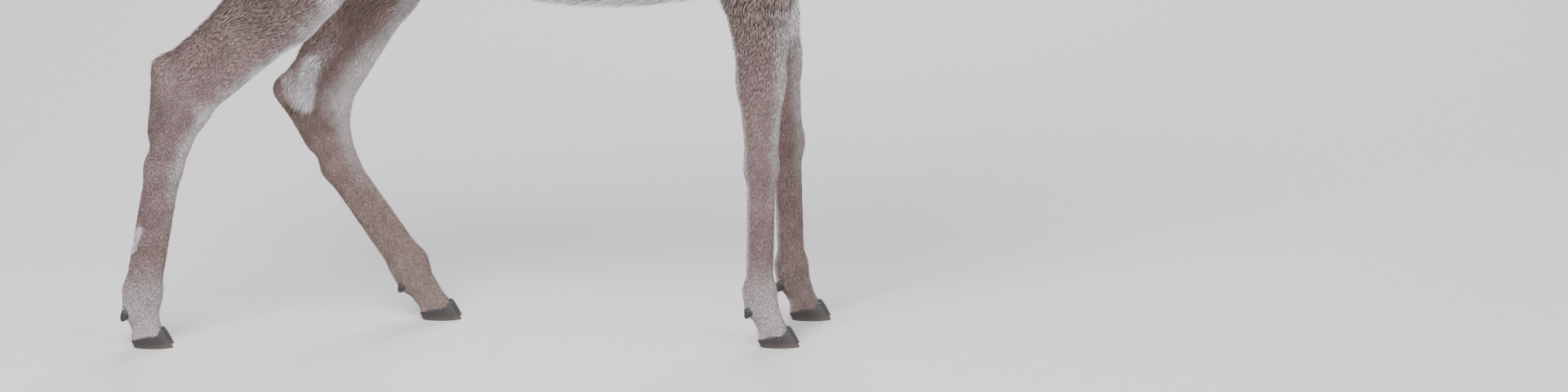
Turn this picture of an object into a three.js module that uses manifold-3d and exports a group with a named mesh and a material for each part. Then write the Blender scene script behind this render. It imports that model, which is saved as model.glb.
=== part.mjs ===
// White-tailed deer doe, standing in a slow walk: a still, life-size model in separate solids.
// Units are millimetres. +X is forwards, +Y is the animal's left, +Z is up, and the hooves stand on Z = 0.
// The whole animal is one smooth surface, a blend of named muscles and body sections. Each part of the body
// is meshed from that surface on a grid of its own, and thin plane cuts part it from its neighbours.

import * as THREE from "three";
import { mergeVertices } from "three/addons/utils/BufferGeometryUtils.js";
import Module from "manifold-3d";

const wasm = await Module();
wasm.setup();

// ---------------------------------------------------------------------------------------------------------
// Driving dimensions

const gap = 0.35; // clear space left by each cut
const stance = 84; // half the distance between the tracks of the left and right feet
const coatBlend = 26; // how softly one muscle runs into the next

// Stations of the trunk along X: [x, top, widest level, bottom, half width]
const trunkStations = [
  [172, 866, 836, 802, 26],
  [200, 880, 840, 776, 38],
  [232, 893, 838, 742, 62],
  [290, 914, 815, 690, 92],
  [370, 925, 785, 640, 108],
  [460, 918, 765, 606, 113],
  [560, 906, 745, 578, 117],
  [660, 900, 725, 557, 124],
  [760, 900, 712, 549, 127],
  [850, 905, 712, 553, 121],
  [930, 917, 725, 562, 108],
  [1000, 925, 735, 572, 95],
  [1060, 890, 740, 596, 86],
  [1100, 848, 735, 612, 76],
  [1132, 808, 725, 640, 60],
  [1158, 772, 712, 668, 42],
];

// The neck's axis runs from the base of the neck to the back of the head. [distance, nape, throat, half width]
const neckStart = [1050, 0, 790];
const neckPitch = 58; // degrees above the horizon
const neckStations = [
  [-40, 150, 120, 92],
  [30, 148, 112, 84],
  [110, 113, 94, 67],
  [200, 84, 77, 54],
  [300, 64, 62, 46],
  [390, 55, 55, 43],
  [430, 45, 48, 37],
  [468, 24, 34, 26],
];

// The head's axis runs from the back of the skull to the nose. [distance, above, below, half width]
const headStart = [1270, 0, 1176];
const headPitch = -20;
const headStations = [
  [-26, 18, 14, 15],
  [0, 43, 30, 32],
  [30, 55, 47, 42],
  [60, 59, 60, 47],
  [90, 59, 64, 49],
  [116, 55, 62, 47],
  [141, 48, 57, 41],
  [171, 40, 50, 33],
  [211, 34, 44, 27.5],
  [246, 31, 40, 25.5],
  [268, 30, 36, 25.5],
  [281, 26, 29, 23],
  [288, 18, 20, 17],
];

const eye = { along: 114, above: 24, out: 38, radius: 15 };
const ear = { along: 44, above: 38, out: 30, length: 172, bow: 10, lean: [-0.12, 0.66, 0.75], open: [0.9, 0.42, -0.2] };
// Up the ear, from 0 at the base to 1 at the tip. [level, radius of the cup, half angle it spans, wall]
const earStations = [
  [-0.1, 9, 2.7, 15],
  [0.06, 14, 2.5, 8],
  [0.15, 18, 2.15, 6],
  [0.27, 25, 1.7, 5],
  [0.4, 34, 1.33, 4.4],
  [0.53, 41, 1.12, 4],
  [0.66, 43, 0.98, 3.6],
  [0.78, 41, 0.82, 3.2],
  [0.88, 36, 0.64, 2.8],
  [0.95, 28, 0.45, 2.2],
  [1, 20, 0.14, 1.6],
];

// Joint centres of each leg, [x, y, z] for a leg at the left. The right hind leg is stretched back and the left
// one has just been set down, while the forelegs pass each other.
const hindRight = {
  side: -1,
  hip: [275, 66, 828],
  stifle: [300, 97, 598],
  hock: [84, 80, 401],
  heel: [53, 80, 467],
  cannon: [47, 81, 300],
  fetlock: [9, stance, 90],
  dewclaw: [-20, stance, 54],
  foot: [12, stance + 1, 40],
  toe: [59, stance + 1, 0],
};
const hindLeft = {
  side: 1,
  hip: [297, 66, 806],
  stifle: [443, 97, 604],
  hock: [302, 80, 362],
  heel: [241, 80, 391],
  cannon: [325, 81, 262],
  fetlock: [437, stance, 92],
  dewclaw: [426, stance, 56],
  foot: [466, stance + 1, 42],
  toe: [524, stance + 1, 0],
};
const foreRight = {
  side: -1,
  elbow: [1019, 84, 570],
  knee: [1020, 80, 303],
  fetlock: [1017, stance - 3, 90],
  dewclaw: [999, stance - 3, 58],
  foot: [1032, stance - 2, 41],
  toe: [1083, stance - 2, 0],
};
const foreStep = 52; // the left forefoot is this far ahead
const foreLeft = {
  side: 1,
  elbow: [1032, 84, 572],
  knee: [1062, 80, 303],
  fetlock: [1017 + foreStep, stance - 3, 90],
  dewclaw: [999 + foreStep, stance - 3, 58],
  foot: [1032 + foreStep, stance - 2, 41],
  toe: [1083 + foreStep, stance - 2, 0],
};

const hoof = { length: 64, width: 20.5, height: 33, heel: 17, spread: 12.5 };
const dewclaw = { length: 22, width: 14, spread: 14 };

// ---------------------------------------------------------------------------------------------------------
// Vectors and smooth blending

const add = (a, b, k = 1) => [a[0] + b[0] * k, a[1] + b[1] * k, a[2] + b[2] * k];
const mix = (a, b, t) => [a[0] + (b[0] - a[0]) * t, a[1] + (b[1] - a[1]) * t, a[2] + (b[2] - a[2]) * t];
const pitched = (degrees) => [Math.cos((degrees * Math.PI) / 180), 0, Math.sin((degrees * Math.PI) / 180)];

function smoothMin(a, b, k) {
  const h = Math.max(k - Math.abs(a - b), 0) / k;
  return Math.min(a, b) - (h * h * k) / 4;
}

// Catmull-Rom interpolation of the columns of a table of stations.
function stationAt(stations, s) {
  const last = stations.length - 1;
  let i = 0;
  while (i < last - 1 && s > stations[i + 1][0]) i++;
  const p1 = stations[i];
  const p2 = stations[i + 1];
  const p0 = stations[Math.max(i - 1, 0)];
  const p3 = stations[Math.min(i + 2, last)];
  const span = p2[0] - p1[0];
  const t = Math.min(Math.max((s - p1[0]) / span, 0), 1);
  return p1.map((value, c) => {
    const m1 = ((p2[c] - p0[c]) / (p2[0] - p0[0])) * span;
    const m2 = ((p3[c] - p1[c]) / (p3[0] - p1[0])) * span;
    const t2 = t * t;
    const t3 = t2 * t;
    return (
      (2 * t3 - 3 * t2 + 1) * value + (t3 - 2 * t2 + t) * m1 + (3 * t2 - 2 * t3) * p2[c] + (t3 - t2) * m2
    );
  });
}

// ---------------------------------------------------------------------------------------------------------
// Forms: each gives the distance from a point to its surface, less than zero inside

// A limb or muscle with round ends of radius ra and rb, flattened sideways.
function taper(a, b, ra, rb, flat = 1, blend = coatBlend) {
  const d = [b[0] - a[0], (b[1] - a[1]) / flat, b[2] - a[2]];
  const d2 = d[0] ** 2 + d[1] ** 2 + d[2] ** 2;
  const distance = (x, y, z) => {
    const p = [x - a[0], (y - a[1]) / flat, z - a[2]];
    const t = Math.min(Math.max((p[0] * d[0] + p[1] * d[1] + p[2] * d[2]) / d2, 0), 1);
    return Math.hypot(p[0] - d[0] * t, p[1] - d[1] * t, p[2] - d[2] * t) - (ra + (rb - ra) * t);
  };
  return { blend, distance };
}

// An ellipsoid with radii along, across and above, tipped up by a pitch in degrees.
function ball(c, r, pitch = 0, blend = coatBlend) {
  const [cos, , sin] = pitched(pitch);
  const distance = (x, y, z) => {
    const dx = x - c[0];
    const dz = z - c[2];
    const p = [dx * cos + dz * sin, y - c[1], dz * cos - dx * sin];
    const k0 = Math.hypot(p[0] / r[0], p[1] / r[1], p[2] / r[2]);
    const k1 = Math.hypot(p[0] / r[0] ** 2, p[1] / r[1] ** 2, p[2] / r[2] ** 2);
    return k1 < 1e-9 ? -Math.min(...r) : (k0 * (k0 - 1)) / k1;
  };
  return { blend, distance };
}

// A tube whose section is given as a share of its size, closed by rounded ends.
function capped(inside, size, narrow, past) {
  const a = inside * size + 0.8 * narrow;
  const b = past + 0.8 * narrow;
  return Math.min(Math.max(a, b), 0) + Math.hypot(Math.max(a, 0), Math.max(b, 0)) - 0.8 * narrow;
}

// A body section that changes along a straight axis: above, below and half width at each station.
function section(start, pitch, stations, power, blend = coatBlend) {
  const along = pitched(pitch);
  const first = stations[0][0];
  const end = stations[stations.length - 1][0];
  const distance = (x, y, z) => {
    const dx = x - start[0];
    const dz = z - start[2];
    const s = dx * along[0] + dz * along[2];
    const h = dz * along[0] - dx * along[2];
    const [, above, below, half] = stationAt(stations, Math.min(Math.max(s, first), end));
    const reach = h > 0 ? above : below;
    const inside = (Math.abs(y / half) ** power + Math.abs(h / reach) ** power) ** (1 / power) - 1;
    return capped(inside, Math.min(half, reach), Math.min(half, above, below), Math.max(first - s, s - end));
  };
  return { blend, distance };
}

const both = (make) => [make(1), make(-1)];

// ---------------------------------------------------------------------------------------------------------
// Anatomy

function barrel(stations, power, blend) {
  const first = stations[0][0];
  const end = stations[stations.length - 1][0];
  const distance = (x, y, z) => {
    const [, top, widest, bottom, half] = stationAt(stations, Math.min(Math.max(x, first), end));
    const reach = z > widest ? top - widest : widest - bottom;
    const inside = (Math.abs(y / half) ** power + Math.abs((z - widest) / reach) ** power) ** (1 / power) - 1;
    const narrow = Math.min(half, top - widest, widest - bottom);
    return capped(inside, Math.min(half, reach), narrow, Math.max(first - x, x - end));
  };
  return { blend, distance };
}

function trunkForms() {
  return [
    barrel(trunkStations, 2.15, 30),
    ball([1080, 0, 688], [92, 60, 64], 58, 50), // brisket
    ...both((s) => taper([965, s * 34, 862], [1085, s * 66, 735], 46, 56, 0.7, 40)), // shoulder blade
    ...both((s) => taper([1092, s * 70, 708], [1030, s * 82, 600], 54, 46, 0.66, 34)), // upper arm
    ...both((s) => taper([955, s * 62, 745], [990, s * 80, 612], 60, 38, 0.62, 40)), // triceps
    ...both((s) => ball([232, s * 46, 800], [52, 44, 70], 0, 34)), // point of the buttock
  ];
}

function neckForms() {
  return [
    section(neckStart, neckPitch, neckStations, 2.1, 44),
    taper([1240, 0, 1130], [1150, 0, 960], 40, 50, 0.8, 30), // windpipe and throat
    taper([1236, 0, 1126], onHead(36, 0, 8), 47, 44, 0.86, 30), // nape
  ];
}

// A point given along, out and above on the head.
function onHead(along, out, above) {
  const f = pitched(headPitch);
  return [headStart[0] + f[0] * along - f[2] * above, out, headStart[2] + f[2] * along + f[0] * above];
}

function headForms() {
  const h = onHead;
  return [
    section(headStart, headPitch, headStations, 2.25, 26),
    ball(h(84, 0, 33), [48, 33, 26], headPitch, 16), // forehead
    ...both((s) => ball(h(eye.along, s * 31, eye.above + 2), [25, 18, 21], headPitch, 10)), // eye socket
    ...both((s) => taper(h(135, s * 34, 0), h(74, s * 40, 12), 13, 13, 0.8, 16)), // cheekbone
    ...both((s) => ball(h(68, s * 30, -28), [40, 17, 34], headPitch, 18)), // jaw muscle
    ...both((s) => taper(h(238, s * 9, -27), h(90, s * 24, -42), 13, 17, 0.75, 14)), // lower jaw
    ball(h(264, 0, -29), [20, 17, 12], headPitch, 10), // chin
    ball(h(267, 0, -8), [21, 24.5, 18], headPitch, 12), // upper lip
    ball(h(274, 0, 10), [18, 22, 18], headPitch, 8), // nose
  ];
}

function hindLegForms(leg) {
  const at = (p) => [p[0], p[1] * leg.side, p[2]];
  const { hip, stifle, hock, heel, cannon, fetlock, foot } = leg;
  const ham = [hip[0] - 42, hip[1] + 8, hip[2] - 70];
  const calf = add(mix(stifle, heel, 0.42), [-14, 0, 22]);
  return [
    ball(at(add(hip, [10, -4, 8])), [108, 50, 88], 0, 40), // rump muscle
    taper(at(add(hip, [44, 8, -30])), at(add(stifle, [6, -2, 22])), 74, 44, 0.66, 40), // front of the thigh
    taper(at(ham), at(mix(ham, calf, 0.72)), 72, 44, 0.6, 40), // hamstrings
    taper(at(add(hip, [-10, 16, -60])), at(mix(stifle, hock, 0.2)), 78, 46, 0.56, 40), // outer thigh
    taper(at(add(stifle, [16, -12, 44])), at([stifle[0] + 120, 78, 664]), 46, 44, 0.62, 40), // fold of the flank
    taper(at([hip[0] - 10, 24, 700]), at([stifle[0] + 60, 46, 664]), 44, 50, 0.7, 40), // groin
    taper(at(add(stifle, [-4, 0, -4])), at(mix(stifle, hock, 0.94)), 46, 34, 0.72, 26), // shin
    taper(at(calf), at(mix(calf, heel, 0.6)), 38, 18, 0.6, 28), // calf
    taper(at(mix(calf, heel, 0.4)), at(heel), 17, 20, 0.62, 16), // Achilles tendon
    taper(at(mix(stifle, heel, 0.5)), at(mix(hock, heel, 0.5)), 46, 30, 0.36, 20), // web before the tendon
    ball(at(add(hock, [2, 0, 4])), [38, 28, 42], 0, 18), // hock
    taper(at(heel), at(mix(heel, cannon, 0.62)), 21, 28, 0.72, 18), // heel bone
    taper(at(hock), at(cannon), 35, 30, 0.7, 20),
    taper(at(cannon), at(fetlock), 29.5, 30, 0.68, 16), // cannon bone and tendons
    ball(at(fetlock), [31, 24, 32], 0, 14),
    taper(at(fetlock), at(foot), 27, 25, 0.84, 12), // pastern
    ball(at(mix(leg.dewclaw, mix(fetlock, foot, 0.4), 0.5)), [20, 21, 22], 0, 12), // pad under the dewclaws
    ...digitForms(leg, at),
  ];
}

function foreLegForms(leg) {
  const at = (p) => [p[0], p[1] * leg.side, p[2]];
  const { elbow, knee, fetlock, foot } = leg;
  return [
    taper(at(add(elbow, [-34, -4, 28])), at(mix(elbow, knee, 0.25)), 28, 30, 0.66, 30), // point of the elbow
    taper(at(elbow), at(mix(elbow, knee, 0.5)), 51, 37, 0.62, 30), // forearm
    taper(at(mix(elbow, knee, 0.45)), at(knee), 38, 26, 0.64, 20),
    ball(at(knee), [28, 24, 34], 0, 14),
    taper(at(add(knee, [0, 0, -18])), at(fetlock), 24, 22.5, 0.8, 14),
    ball(at(fetlock), [27, 22.5, 28], 0, 12),
    taper(at(fetlock), at(foot), 24, 23.5, 0.86, 12),
    ball(at(mix(leg.dewclaw, mix(fetlock, foot, 0.4), 0.5)), [18, 19, 20], 0, 12),
    ...digitForms(leg, at),
  ];
}

// The two toes above the hooves, each with the bulb of its heel behind it.
function digitForms(leg, at) {
  const top = mix(leg.fetlock, leg.foot, 0.55);
  const low = [leg.toe[0] - hoof.length * 0.56, leg.foot[1], hoof.heel + 3];
  const heel = [leg.toe[0] - hoof.length * 0.9, leg.foot[1], hoof.heel + 2];
  return [1, -1].flatMap((s) => {
    const out = [0, s * hoof.spread, 0];
    return [
      taper(at(add(top, out, 0.8)), at(add(low, out)), 17, 17, 0.64, 8),
      taper(at(add(leg.foot, out, 0.8)), at(add(heel, out)), 15, 12, 0.7, 8),
    ];
  });
}

// The tail hangs behind the rump, broad and flat. [x, z, half thickness, half width]
const tailStations = [
  [218, 868, 18, 24],
  [174, 856, 19, 29],
  [150, 820, 18, 38],
  [141, 768, 17, 44],
  [138, 712, 15, 42],
  [137, 662, 12, 31],
  [136, 626, 7, 15],
];

function tailForms() {
  return tailStations.slice(1).map(([x, z, deep, half], i) => {
    const [fromX, fromZ, fromDeep, fromHalf] = tailStations[i];
    return taper([fromX, 0, fromZ], [x, 0, z], fromDeep, deep, (fromHalf + half) / (fromDeep + deep), 12);
  });
}

const body = [
  ...trunkForms(),
  ...neckForms(),
  ...headForms(),
  ...hindLegForms(hindRight),
  ...hindLegForms(hindLeft),
  ...foreLegForms(foreRight),
  ...foreLegForms(foreLeft),
];

const hollows = [
  ...both((s) => ball(onHead(148, s * 44, 16), [20, 7, 8], headPitch, 12)), // in front of the eye
  ...both((s) => ball([430, s * 126, 800], [70, 16, 70], 0, 40)), // flank
  ...both((s) => ball(onHead(200, s * 40, 4), [44, 14, 13], headPitch, 14)), // side of the muzzle
];

function blended(forms) {
  return (x, y, z) => forms.reduce((d, f) => smoothMin(d, f.distance(x, y, z), f.blend), 1000);
}

const bodyDistance = (x, y, z) => {
  const d = blended(body)(x, y, z);
  return hollows.reduce((v, h) => -smoothMin(-v, h.distance(x, y, z), h.blend), d);
};

// ---------------------------------------------------------------------------------------------------------
// Meshing: one vertex in each grid cell that the surface crosses, moved onto the surface

// A grid that covers a box from low to high, with cells of about the given size. `turn` tips it up, in degrees.
function grid(corner, size, cell, turn = 0) {
  const counts = size.map((length, i) => Math.round(length / cell[i]));
  return { corner, turn, counts, cell: size.map((length, i) => length / counts[i]) };
}

const box = (low, high, cell) => grid(low, high.map((h, i) => h - low[i]), cell);

// A grid along a limb, with the reach behind, before and beside it, and past its lower and upper ends.
function limbGrid(side, low, high, [back, front, beside], [below, above], cell) {
  const length = Math.hypot(high[0] - low[0], high[2] - low[2]);
  const up = [(high[0] - low[0]) / length, 0, (high[2] - low[2]) / length];
  const ahead = [up[2], 0, -up[0]];
  const corner = add(add(low, ahead, -back), up, -below);
  corner[1] = side * ((low[1] + high[1]) / 2) - beside;
  const turn = (Math.atan2(-up[0], up[2]) * 180) / Math.PI;
  return grid(corner, [back + front, beside * 2, length + below + above], cell, turn);
}

function netMesh(distance, frame) {
  const [cos, , sin] = pitched(frame.turn);
  const n = frame.counts;
  const place = (i, j, k) => {
    const u = i * frame.cell[0];
    const w = k * frame.cell[2];
    return add(frame.corner, [u * cos - w * sin, j * frame.cell[1], u * sin + w * cos]);
  };
  const at = (i, j, k) => (i * (n[1] + 1) + j) * (n[2] + 1) + k;
  const samples = new Float64Array(at(n[0], n[1], n[2]) + 1);
  const every = (act) => {
    for (let i = 0; i <= n[0]; i++) {
      for (let j = 0; j <= n[1]; j++) {
        for (let k = 0; k <= n[2]; k++) act(i, j, k);
      }
    }
  };
  every((i, j, k) => {
    const rim = Math.min(i, j, k, n[0] - i, n[1] - j, n[2] - k) === 0;
    samples[at(i, j, k)] = rim ? 5 : distance(...place(i, j, k));
  });

  const corners = [0, 1, 2, 3, 4, 5, 6, 7].map((c) => [c & 1, (c >> 1) & 1, c >> 2]);
  const inside = (v) => v < 0;
  const vertexOf = new Map();
  const points = [];
  every((i, j, k) => {
    if (i === n[0] || j === n[1] || k === n[2]) return;
    const v = corners.map(([a, b, c]) => samples[at(i + a, j + b, k + c)]);
    if (v.every(inside) || !v.some(inside)) return;
    let sum = [0, 0, 0];
    let count = 0;
    corners.forEach((low, a) => {
      for (const bit of [1, 2, 4]) {
        const b = a | bit;
        if (a === b || inside(v[a]) === inside(v[b])) continue;
        sum = add(sum, mix(low, corners[b], v[a] / (v[a] - v[b])));
        count++;
      }
    });
    const middle = place(i + sum[0] / count, j + sum[1] / count, k + sum[2] / count);
    vertexOf.set(at(i, j, k), points.length);
    points.push(ontoSurface(distance, middle, Math.min(...frame.cell) * 0.45));
  });

  const faces = [];
  const apart = (a, b) => Math.hypot(...add(points[a], points[b], -1));
  const quad = (cells, flip) => {
    const q = cells.map((c) => vertexOf.get(c));
    if (flip) q.reverse();
    if (apart(q[0], q[2]) < apart(q[1], q[3])) faces.push([q[0], q[1], q[2]], [q[0], q[2], q[3]]);
    else faces.push([q[0], q[1], q[3]], [q[1], q[2], q[3]]);
  };
  every((i, j, k) => {
    const here = inside(samples[at(i, j, k)]);
    if (i < n[0] && here !== inside(samples[at(i + 1, j, k)]))
      quad([at(i, j - 1, k - 1), at(i, j, k - 1), at(i, j, k), at(i, j - 1, k)], !here);
    if (j < n[1] && here !== inside(samples[at(i, j + 1, k)]))
      quad([at(i - 1, j, k - 1), at(i - 1, j, k), at(i, j, k), at(i, j, k - 1)], !here);
    if (k < n[2] && here !== inside(samples[at(i, j, k + 1)]))
      quad([at(i - 1, j - 1, k), at(i, j - 1, k), at(i, j, k), at(i - 1, j, k)], !here);
  });
  return { points, faces };
}

// Newton steps along the slope of the distance, never moving further than `most`.
function ontoSurface(distance, start, most) {
  let p = start;
  for (let step = 0; step < 3; step++) {
    const d = distance(...p);
    const slope = [0, 1, 2].map((axis) => {
      const q = [...p];
      q[axis] += 0.5;
      return (distance(...q) - d) / 0.5;
    });
    const steep = slope[0] ** 2 + slope[1] ** 2 + slope[2] ** 2;
    const next = add(p, slope, -d / steep);
    if (steep < 0.05 || Math.hypot(...add(next, start, -1)) > most) return p;
    p = next;
  }
  return p;
}

// ---------------------------------------------------------------------------------------------------------
// Solids

function solid(geometry) {
  const g = geometry.clone();
  g.deleteAttribute("normal");
  g.deleteAttribute("uv");
  const m = mergeVertices(g, 1e-4);
  const vertProperties = m.attributes.position.array;
  const triVerts = new Uint32Array(m.index.array);
  return new wasm.Manifold(new wasm.Mesh({ numProp: 3, vertProperties, triVerts }));
}

function shell({ points, faces }) {
  const g = new THREE.BufferGeometry();
  g.setAttribute("position", new THREE.Float32BufferAttribute(points.flat(), 3));
  g.setIndex(faces.flat());
  const made = solid(g);
  return made.volume() < 0 ? shell({ points, faces: faces.map((f) => f.toReversed()) }) : made;
}

// The faces of a solid with its vertices moved to a grid of a twentieth of a millimetre. A cut can leave
// slivers thinner than that, whose faces close up and are left out.
function toGeometry(manifold) {
  const m = manifold.getMesh();
  const indexOf = new Map();
  const points = [];
  const moved = [];
  for (let i = 0; i < m.numVert; i++) {
    const p = [...m.vertProperties.slice(i * m.numProp, i * m.numProp + 3)].map((x) => Math.round(x * 20) / 20);
    const key = p.join(" ");
    if (!indexOf.has(key)) indexOf.set(key, points.push(p) - 1);
    moved.push(indexOf.get(key));
  }
  const faces = [];
  for (let i = 0; i < m.triVerts.length; i += 3) {
    const face = [...m.triVerts.slice(i, i + 3)].map((v) => moved[v]);
    if (new Set(face).size === 3) faces.push(face);
  }
  const g = new THREE.BufferGeometry();
  g.setAttribute("position", new THREE.Float32BufferAttribute(points.flat(), 3));
  g.setIndex(faces.flat());
  return g.toNonIndexed();
}

// The half of space beyond a plane, as a large block. `back` moves the plane back along its normal.
function beyond({ point, normal }, back = 0) {
  const size = 4000;
  const n = new THREE.Vector3(...normal).normalize();
  const g = new THREE.BoxGeometry(size, size, size);
  g.translate(0, 0, size / 2 - back);
  g.applyQuaternion(new THREE.Quaternion().setFromUnitVectors(new THREE.Vector3(0, 0, 1), n));
  g.translate(...point);
  return solid(g);
}

const meet = (solids) => solids.reduce((a, b) => a.intersect(b));
const region = (cuts, back = 0) => meet(cuts.map((cut) => beyond(cut, back)));

// The largest body of a solid, without the crumbs that a cut can leave.
function largest(manifold) {
  return manifold.decompose().sort((a, b) => b.volume() - a.volume())[0];
}

// Rings of points joined into a closed solid. Each end is closed across, from one half of its ring to the other.
function loft(rings) {
  const around = rings[0].length;
  const last = (rings.length - 1) * around;
  const faces = [];
  const quad = (a, b, c, d) => faces.push([a, b, c], [a, c, d]);
  for (let r = 0; r < last; r += around) {
    for (let i = 0; i < around; i++) {
      const next = (i + 1) % around;
      quad(r + i, r + next, r + around + next, r + around + i);
    }
  }
  for (let i = 0; i + 1 < around / 2; i++) {
    const j = around - 1 - i;
    quad(i, j, j - 1, i + 1);
    quad(last + i, last + i + 1, last + j - 1, last + j);
  }
  return shell({ points: rings.flat(), faces });
}

// ---------------------------------------------------------------------------------------------------------
// Cuts

const flatPart = (a, b) => [a[0] - b[0], 0, a[2] - b[2]];

const neckCut = { point: [1080, 0, 835], normal: pitched(37) };
const headCut = { point: onHead(6, 0, -22), normal: pitched(14) };
const tailCut = { point: [187, 0, 862], normal: [-1, 0, -0.28] };
const tailSeat = [
  tailCut,
  { point: [0, 0, 790], normal: [0, 0, 1] },
  { point: [0, 40, 0], normal: [0, -1, 0] },
  { point: [0, -40, 0], normal: [0, 1, 0] },
];
const noseCuts = [
  { point: onHead(270, 0, 4), normal: pitched(headPitch + 12) },
  { point: onHead(280, 0, -7), normal: pitched(headPitch + 96) },
];
const jawCuts = [
  { point: onHead(250, 0, -20), normal: pitched(headPitch - 94) },
  { point: onHead(132, 0, -40), normal: pitched(headPitch + 24) },
];

function legCuts(leg) {
  const mirror = (v) => [v[0], v[1] * leg.side, v[2]];
  if (leg.hip) {
    const down = flatPart(leg.fetlock, leg.cannon);
    return {
      upper: [
        { point: mirror([0, 13, 612]), normal: mirror([0, 0.9, -0.42]) },
        { point: add(leg.stifle, [78, 0, 0]), normal: [-0.94, 0, -0.34] },
        { point: add(leg.hip, [0, 0, -52]), normal: [-0.12, 0, -1] },
      ],
      below: [
        { point: mix(leg.stifle, leg.hock, 0.2), normal: flatPart(leg.hock, leg.stifle) },
        { point: mix(leg.hock, leg.cannon, 0.7), normal: down },
        { point: add(leg.fetlock, [0, 0, 30]), normal: down },
      ],
    };
  }
  return {
    upper: [
      { point: mirror([0, 42, 560]), normal: mirror([0, 0.97, -0.25]) },
      { point: add(leg.elbow, [0, 0, 34]), normal: [0.1, 0, -1] },
      { point: add(leg.elbow, [-84, 0, 0]), normal: [1, 0, -0.1] },
    ],
    below: [
      { point: add(leg.elbow, [0, 0, -52]), normal: [0, 0, -1] },
      { point: add(leg.knee, [0, 0, 40]), normal: [0, 0, -1] },
      { point: add(leg.fetlock, [0, 0, 30]), normal: [0, 0, -1] },
    ],
  };
}

// The plane on which the hooves meet the foot, sloping down from the front to the heel.
const coronet = (leg) => ({ point: [leg.toe[0] - hoof.length / 2, 0, hoof.height * 0.74], normal: [0.34, 0, -1] });

// ---------------------------------------------------------------------------------------------------------
// Parts that aren't flesh

// One hoof: a sole outline with a pointed toe, drawn in and back up to the coronet.
function hoofSolid(leg, s) {
  const plane = coronet(leg);
  const around = 12;
  const middle = [leg.toe[0] - hoof.length / 2, leg.side * leg.foot[1] + s * hoof.spread];
  const outline = (t) => {
    const ring = [];
    for (let i = 0; i < around; i++) {
      const a = (i / around) * 2 * Math.PI;
      const along = Math.cos(a);
      const across = Math.sin(a) * s > 0 ? 1 : 0.62;
      const point = 1 - 0.34 * Math.max(along, 0) ** 2;
      const x = middle[0] + along * (hoof.length / 2) * (1 - 0.17 * t) - 11 * t;
      const y = middle[1] + Math.sin(a) * across * (hoof.width / 2) * point * (1 - 0.04 * t) * 1.12;
      const top = plane.point[2] + (x - plane.point[0]) * plane.normal[0] - gap;
      ring.push([x, y, Math.max(top, 6) * t]);
    }
    return ring;
  };
  return loft([0, 0.15, 1].map(outline));
}

// A dewclaw: a blunt horn cone at the back of the pastern, pointing down and out.
function dewclawSolid(leg, s, grow = 0) {
  const g = new THREE.SphereGeometry(1, 6, 4);
  const r = dewclaw.width / 2 + grow;
  g.scale(r, r * 0.82, dewclaw.length / 2 + grow);
  g.rotateY((28 * Math.PI) / 180);
  const [x, y, z] = leg.dewclaw;
  g.translate(x, leg.side * y + s * dewclaw.spread, z);
  return solid(g);
}

function eyeSolid(s, grow = 0) {
  const g = new THREE.SphereGeometry(eye.radius + grow, 12, 6);
  g.translate(...onHead(eye.along, s * eye.out, eye.above));
  return solid(g);
}

// An ear: a leaf rolled into a cup that opens forwards and outwards, and closes into a stalk at its base.
// `point` gives a point on it from a station, a distance from the middle of the cup and an angle round the cup.
function earFrame(s) {
  const base = new THREE.Vector3(...onHead(ear.along, s * ear.out, ear.above));
  const up = new THREE.Vector3(ear.lean[0], s * ear.lean[1], ear.lean[2]).normalize();
  const open = new THREE.Vector3(ear.open[0], s * ear.open[1], ear.open[2]);
  open.addScaledVector(up, -open.dot(up)).normalize();
  const across = new THREE.Vector3().crossVectors(up, open);
  return ([t, radius, turn], rho, angle) => {
    const forward = (radius * (1 + Math.cos(turn))) / 2 - rho * Math.cos(angle) - ear.bow * Math.sin(Math.PI * t);
    const p = base.clone().addScaledVector(up, ear.length * t);
    p.addScaledVector(across, rho * Math.sin(angle)).addScaledVector(open, forward);
    return p.toArray();
  };
}

function earSolid(s) {
  const point = earFrame(s);
  const steps = [...Array(7).keys()];
  const rings = earStations.map((station) => {
    const [, radius, turn, wall] = station;
    const outer = steps.map((i) => point(station, radius + wall / 2, turn * (i / 3 - 1)));
    const inner = steps.map((i) => point(station, radius - wall / 2, turn * (1 - i / 3)));
    return [...outer, ...inner];
  });
  return loft(rings);
}

// The round hole in the head that holds the stalk of an ear.
function earSocket(s) {
  const point = earFrame(s);
  const steps = [...Array(16).keys()];
  const rings = earStations.slice(0, 5).map((station, row) => {
    const [t, radius, turn, wall] = station;
    const deeper = row === 0 ? 0.02 : 0;
    return steps.map((i) => point([t - deeper, radius, turn], radius + wall / 2 + gap * 3, (i / 8) * Math.PI));
  });
  return loft(rings);
}

// ---------------------------------------------------------------------------------------------------------
// Materials and the model

const paint = (color, roughness) => new THREE.MeshStandardMaterial({ color, roughness, metalness: 0 });

const model = new THREE.Group();
const parts = new Map();

function place(name, manifold, color, roughness) {
  parts.set(name, manifold);
  const mesh = new THREE.Mesh(toGeometry(manifold), paint(color, roughness));
  mesh.name = name;
  model.add(mesh);
}

const coat = (name, manifold) => place(name, largest(manifold), 0x8d7768, 0.9);
const horn = (name, manifold) => place(name, manifold, 0x2b2522, 0.45);

const legs = { hind_right: hindRight, hind_left: hindLeft, fore_right: foreRight, fore_left: foreLeft };
const cutsOf = Object.fromEntries(Object.entries(legs).map(([name, leg]) => [name, legCuts(leg)]));

const flesh = (frame, distance = bodyDistance) => shell(netMesh(distance, frame));

const torso = flesh(box([100, -190, 450], [1370, 190, 1280], [52, 38, 41]));
const tail = flesh(box([92, -66, 596], [248, 66, 904], [17, 19, 30]), blended(tailForms()));

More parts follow.
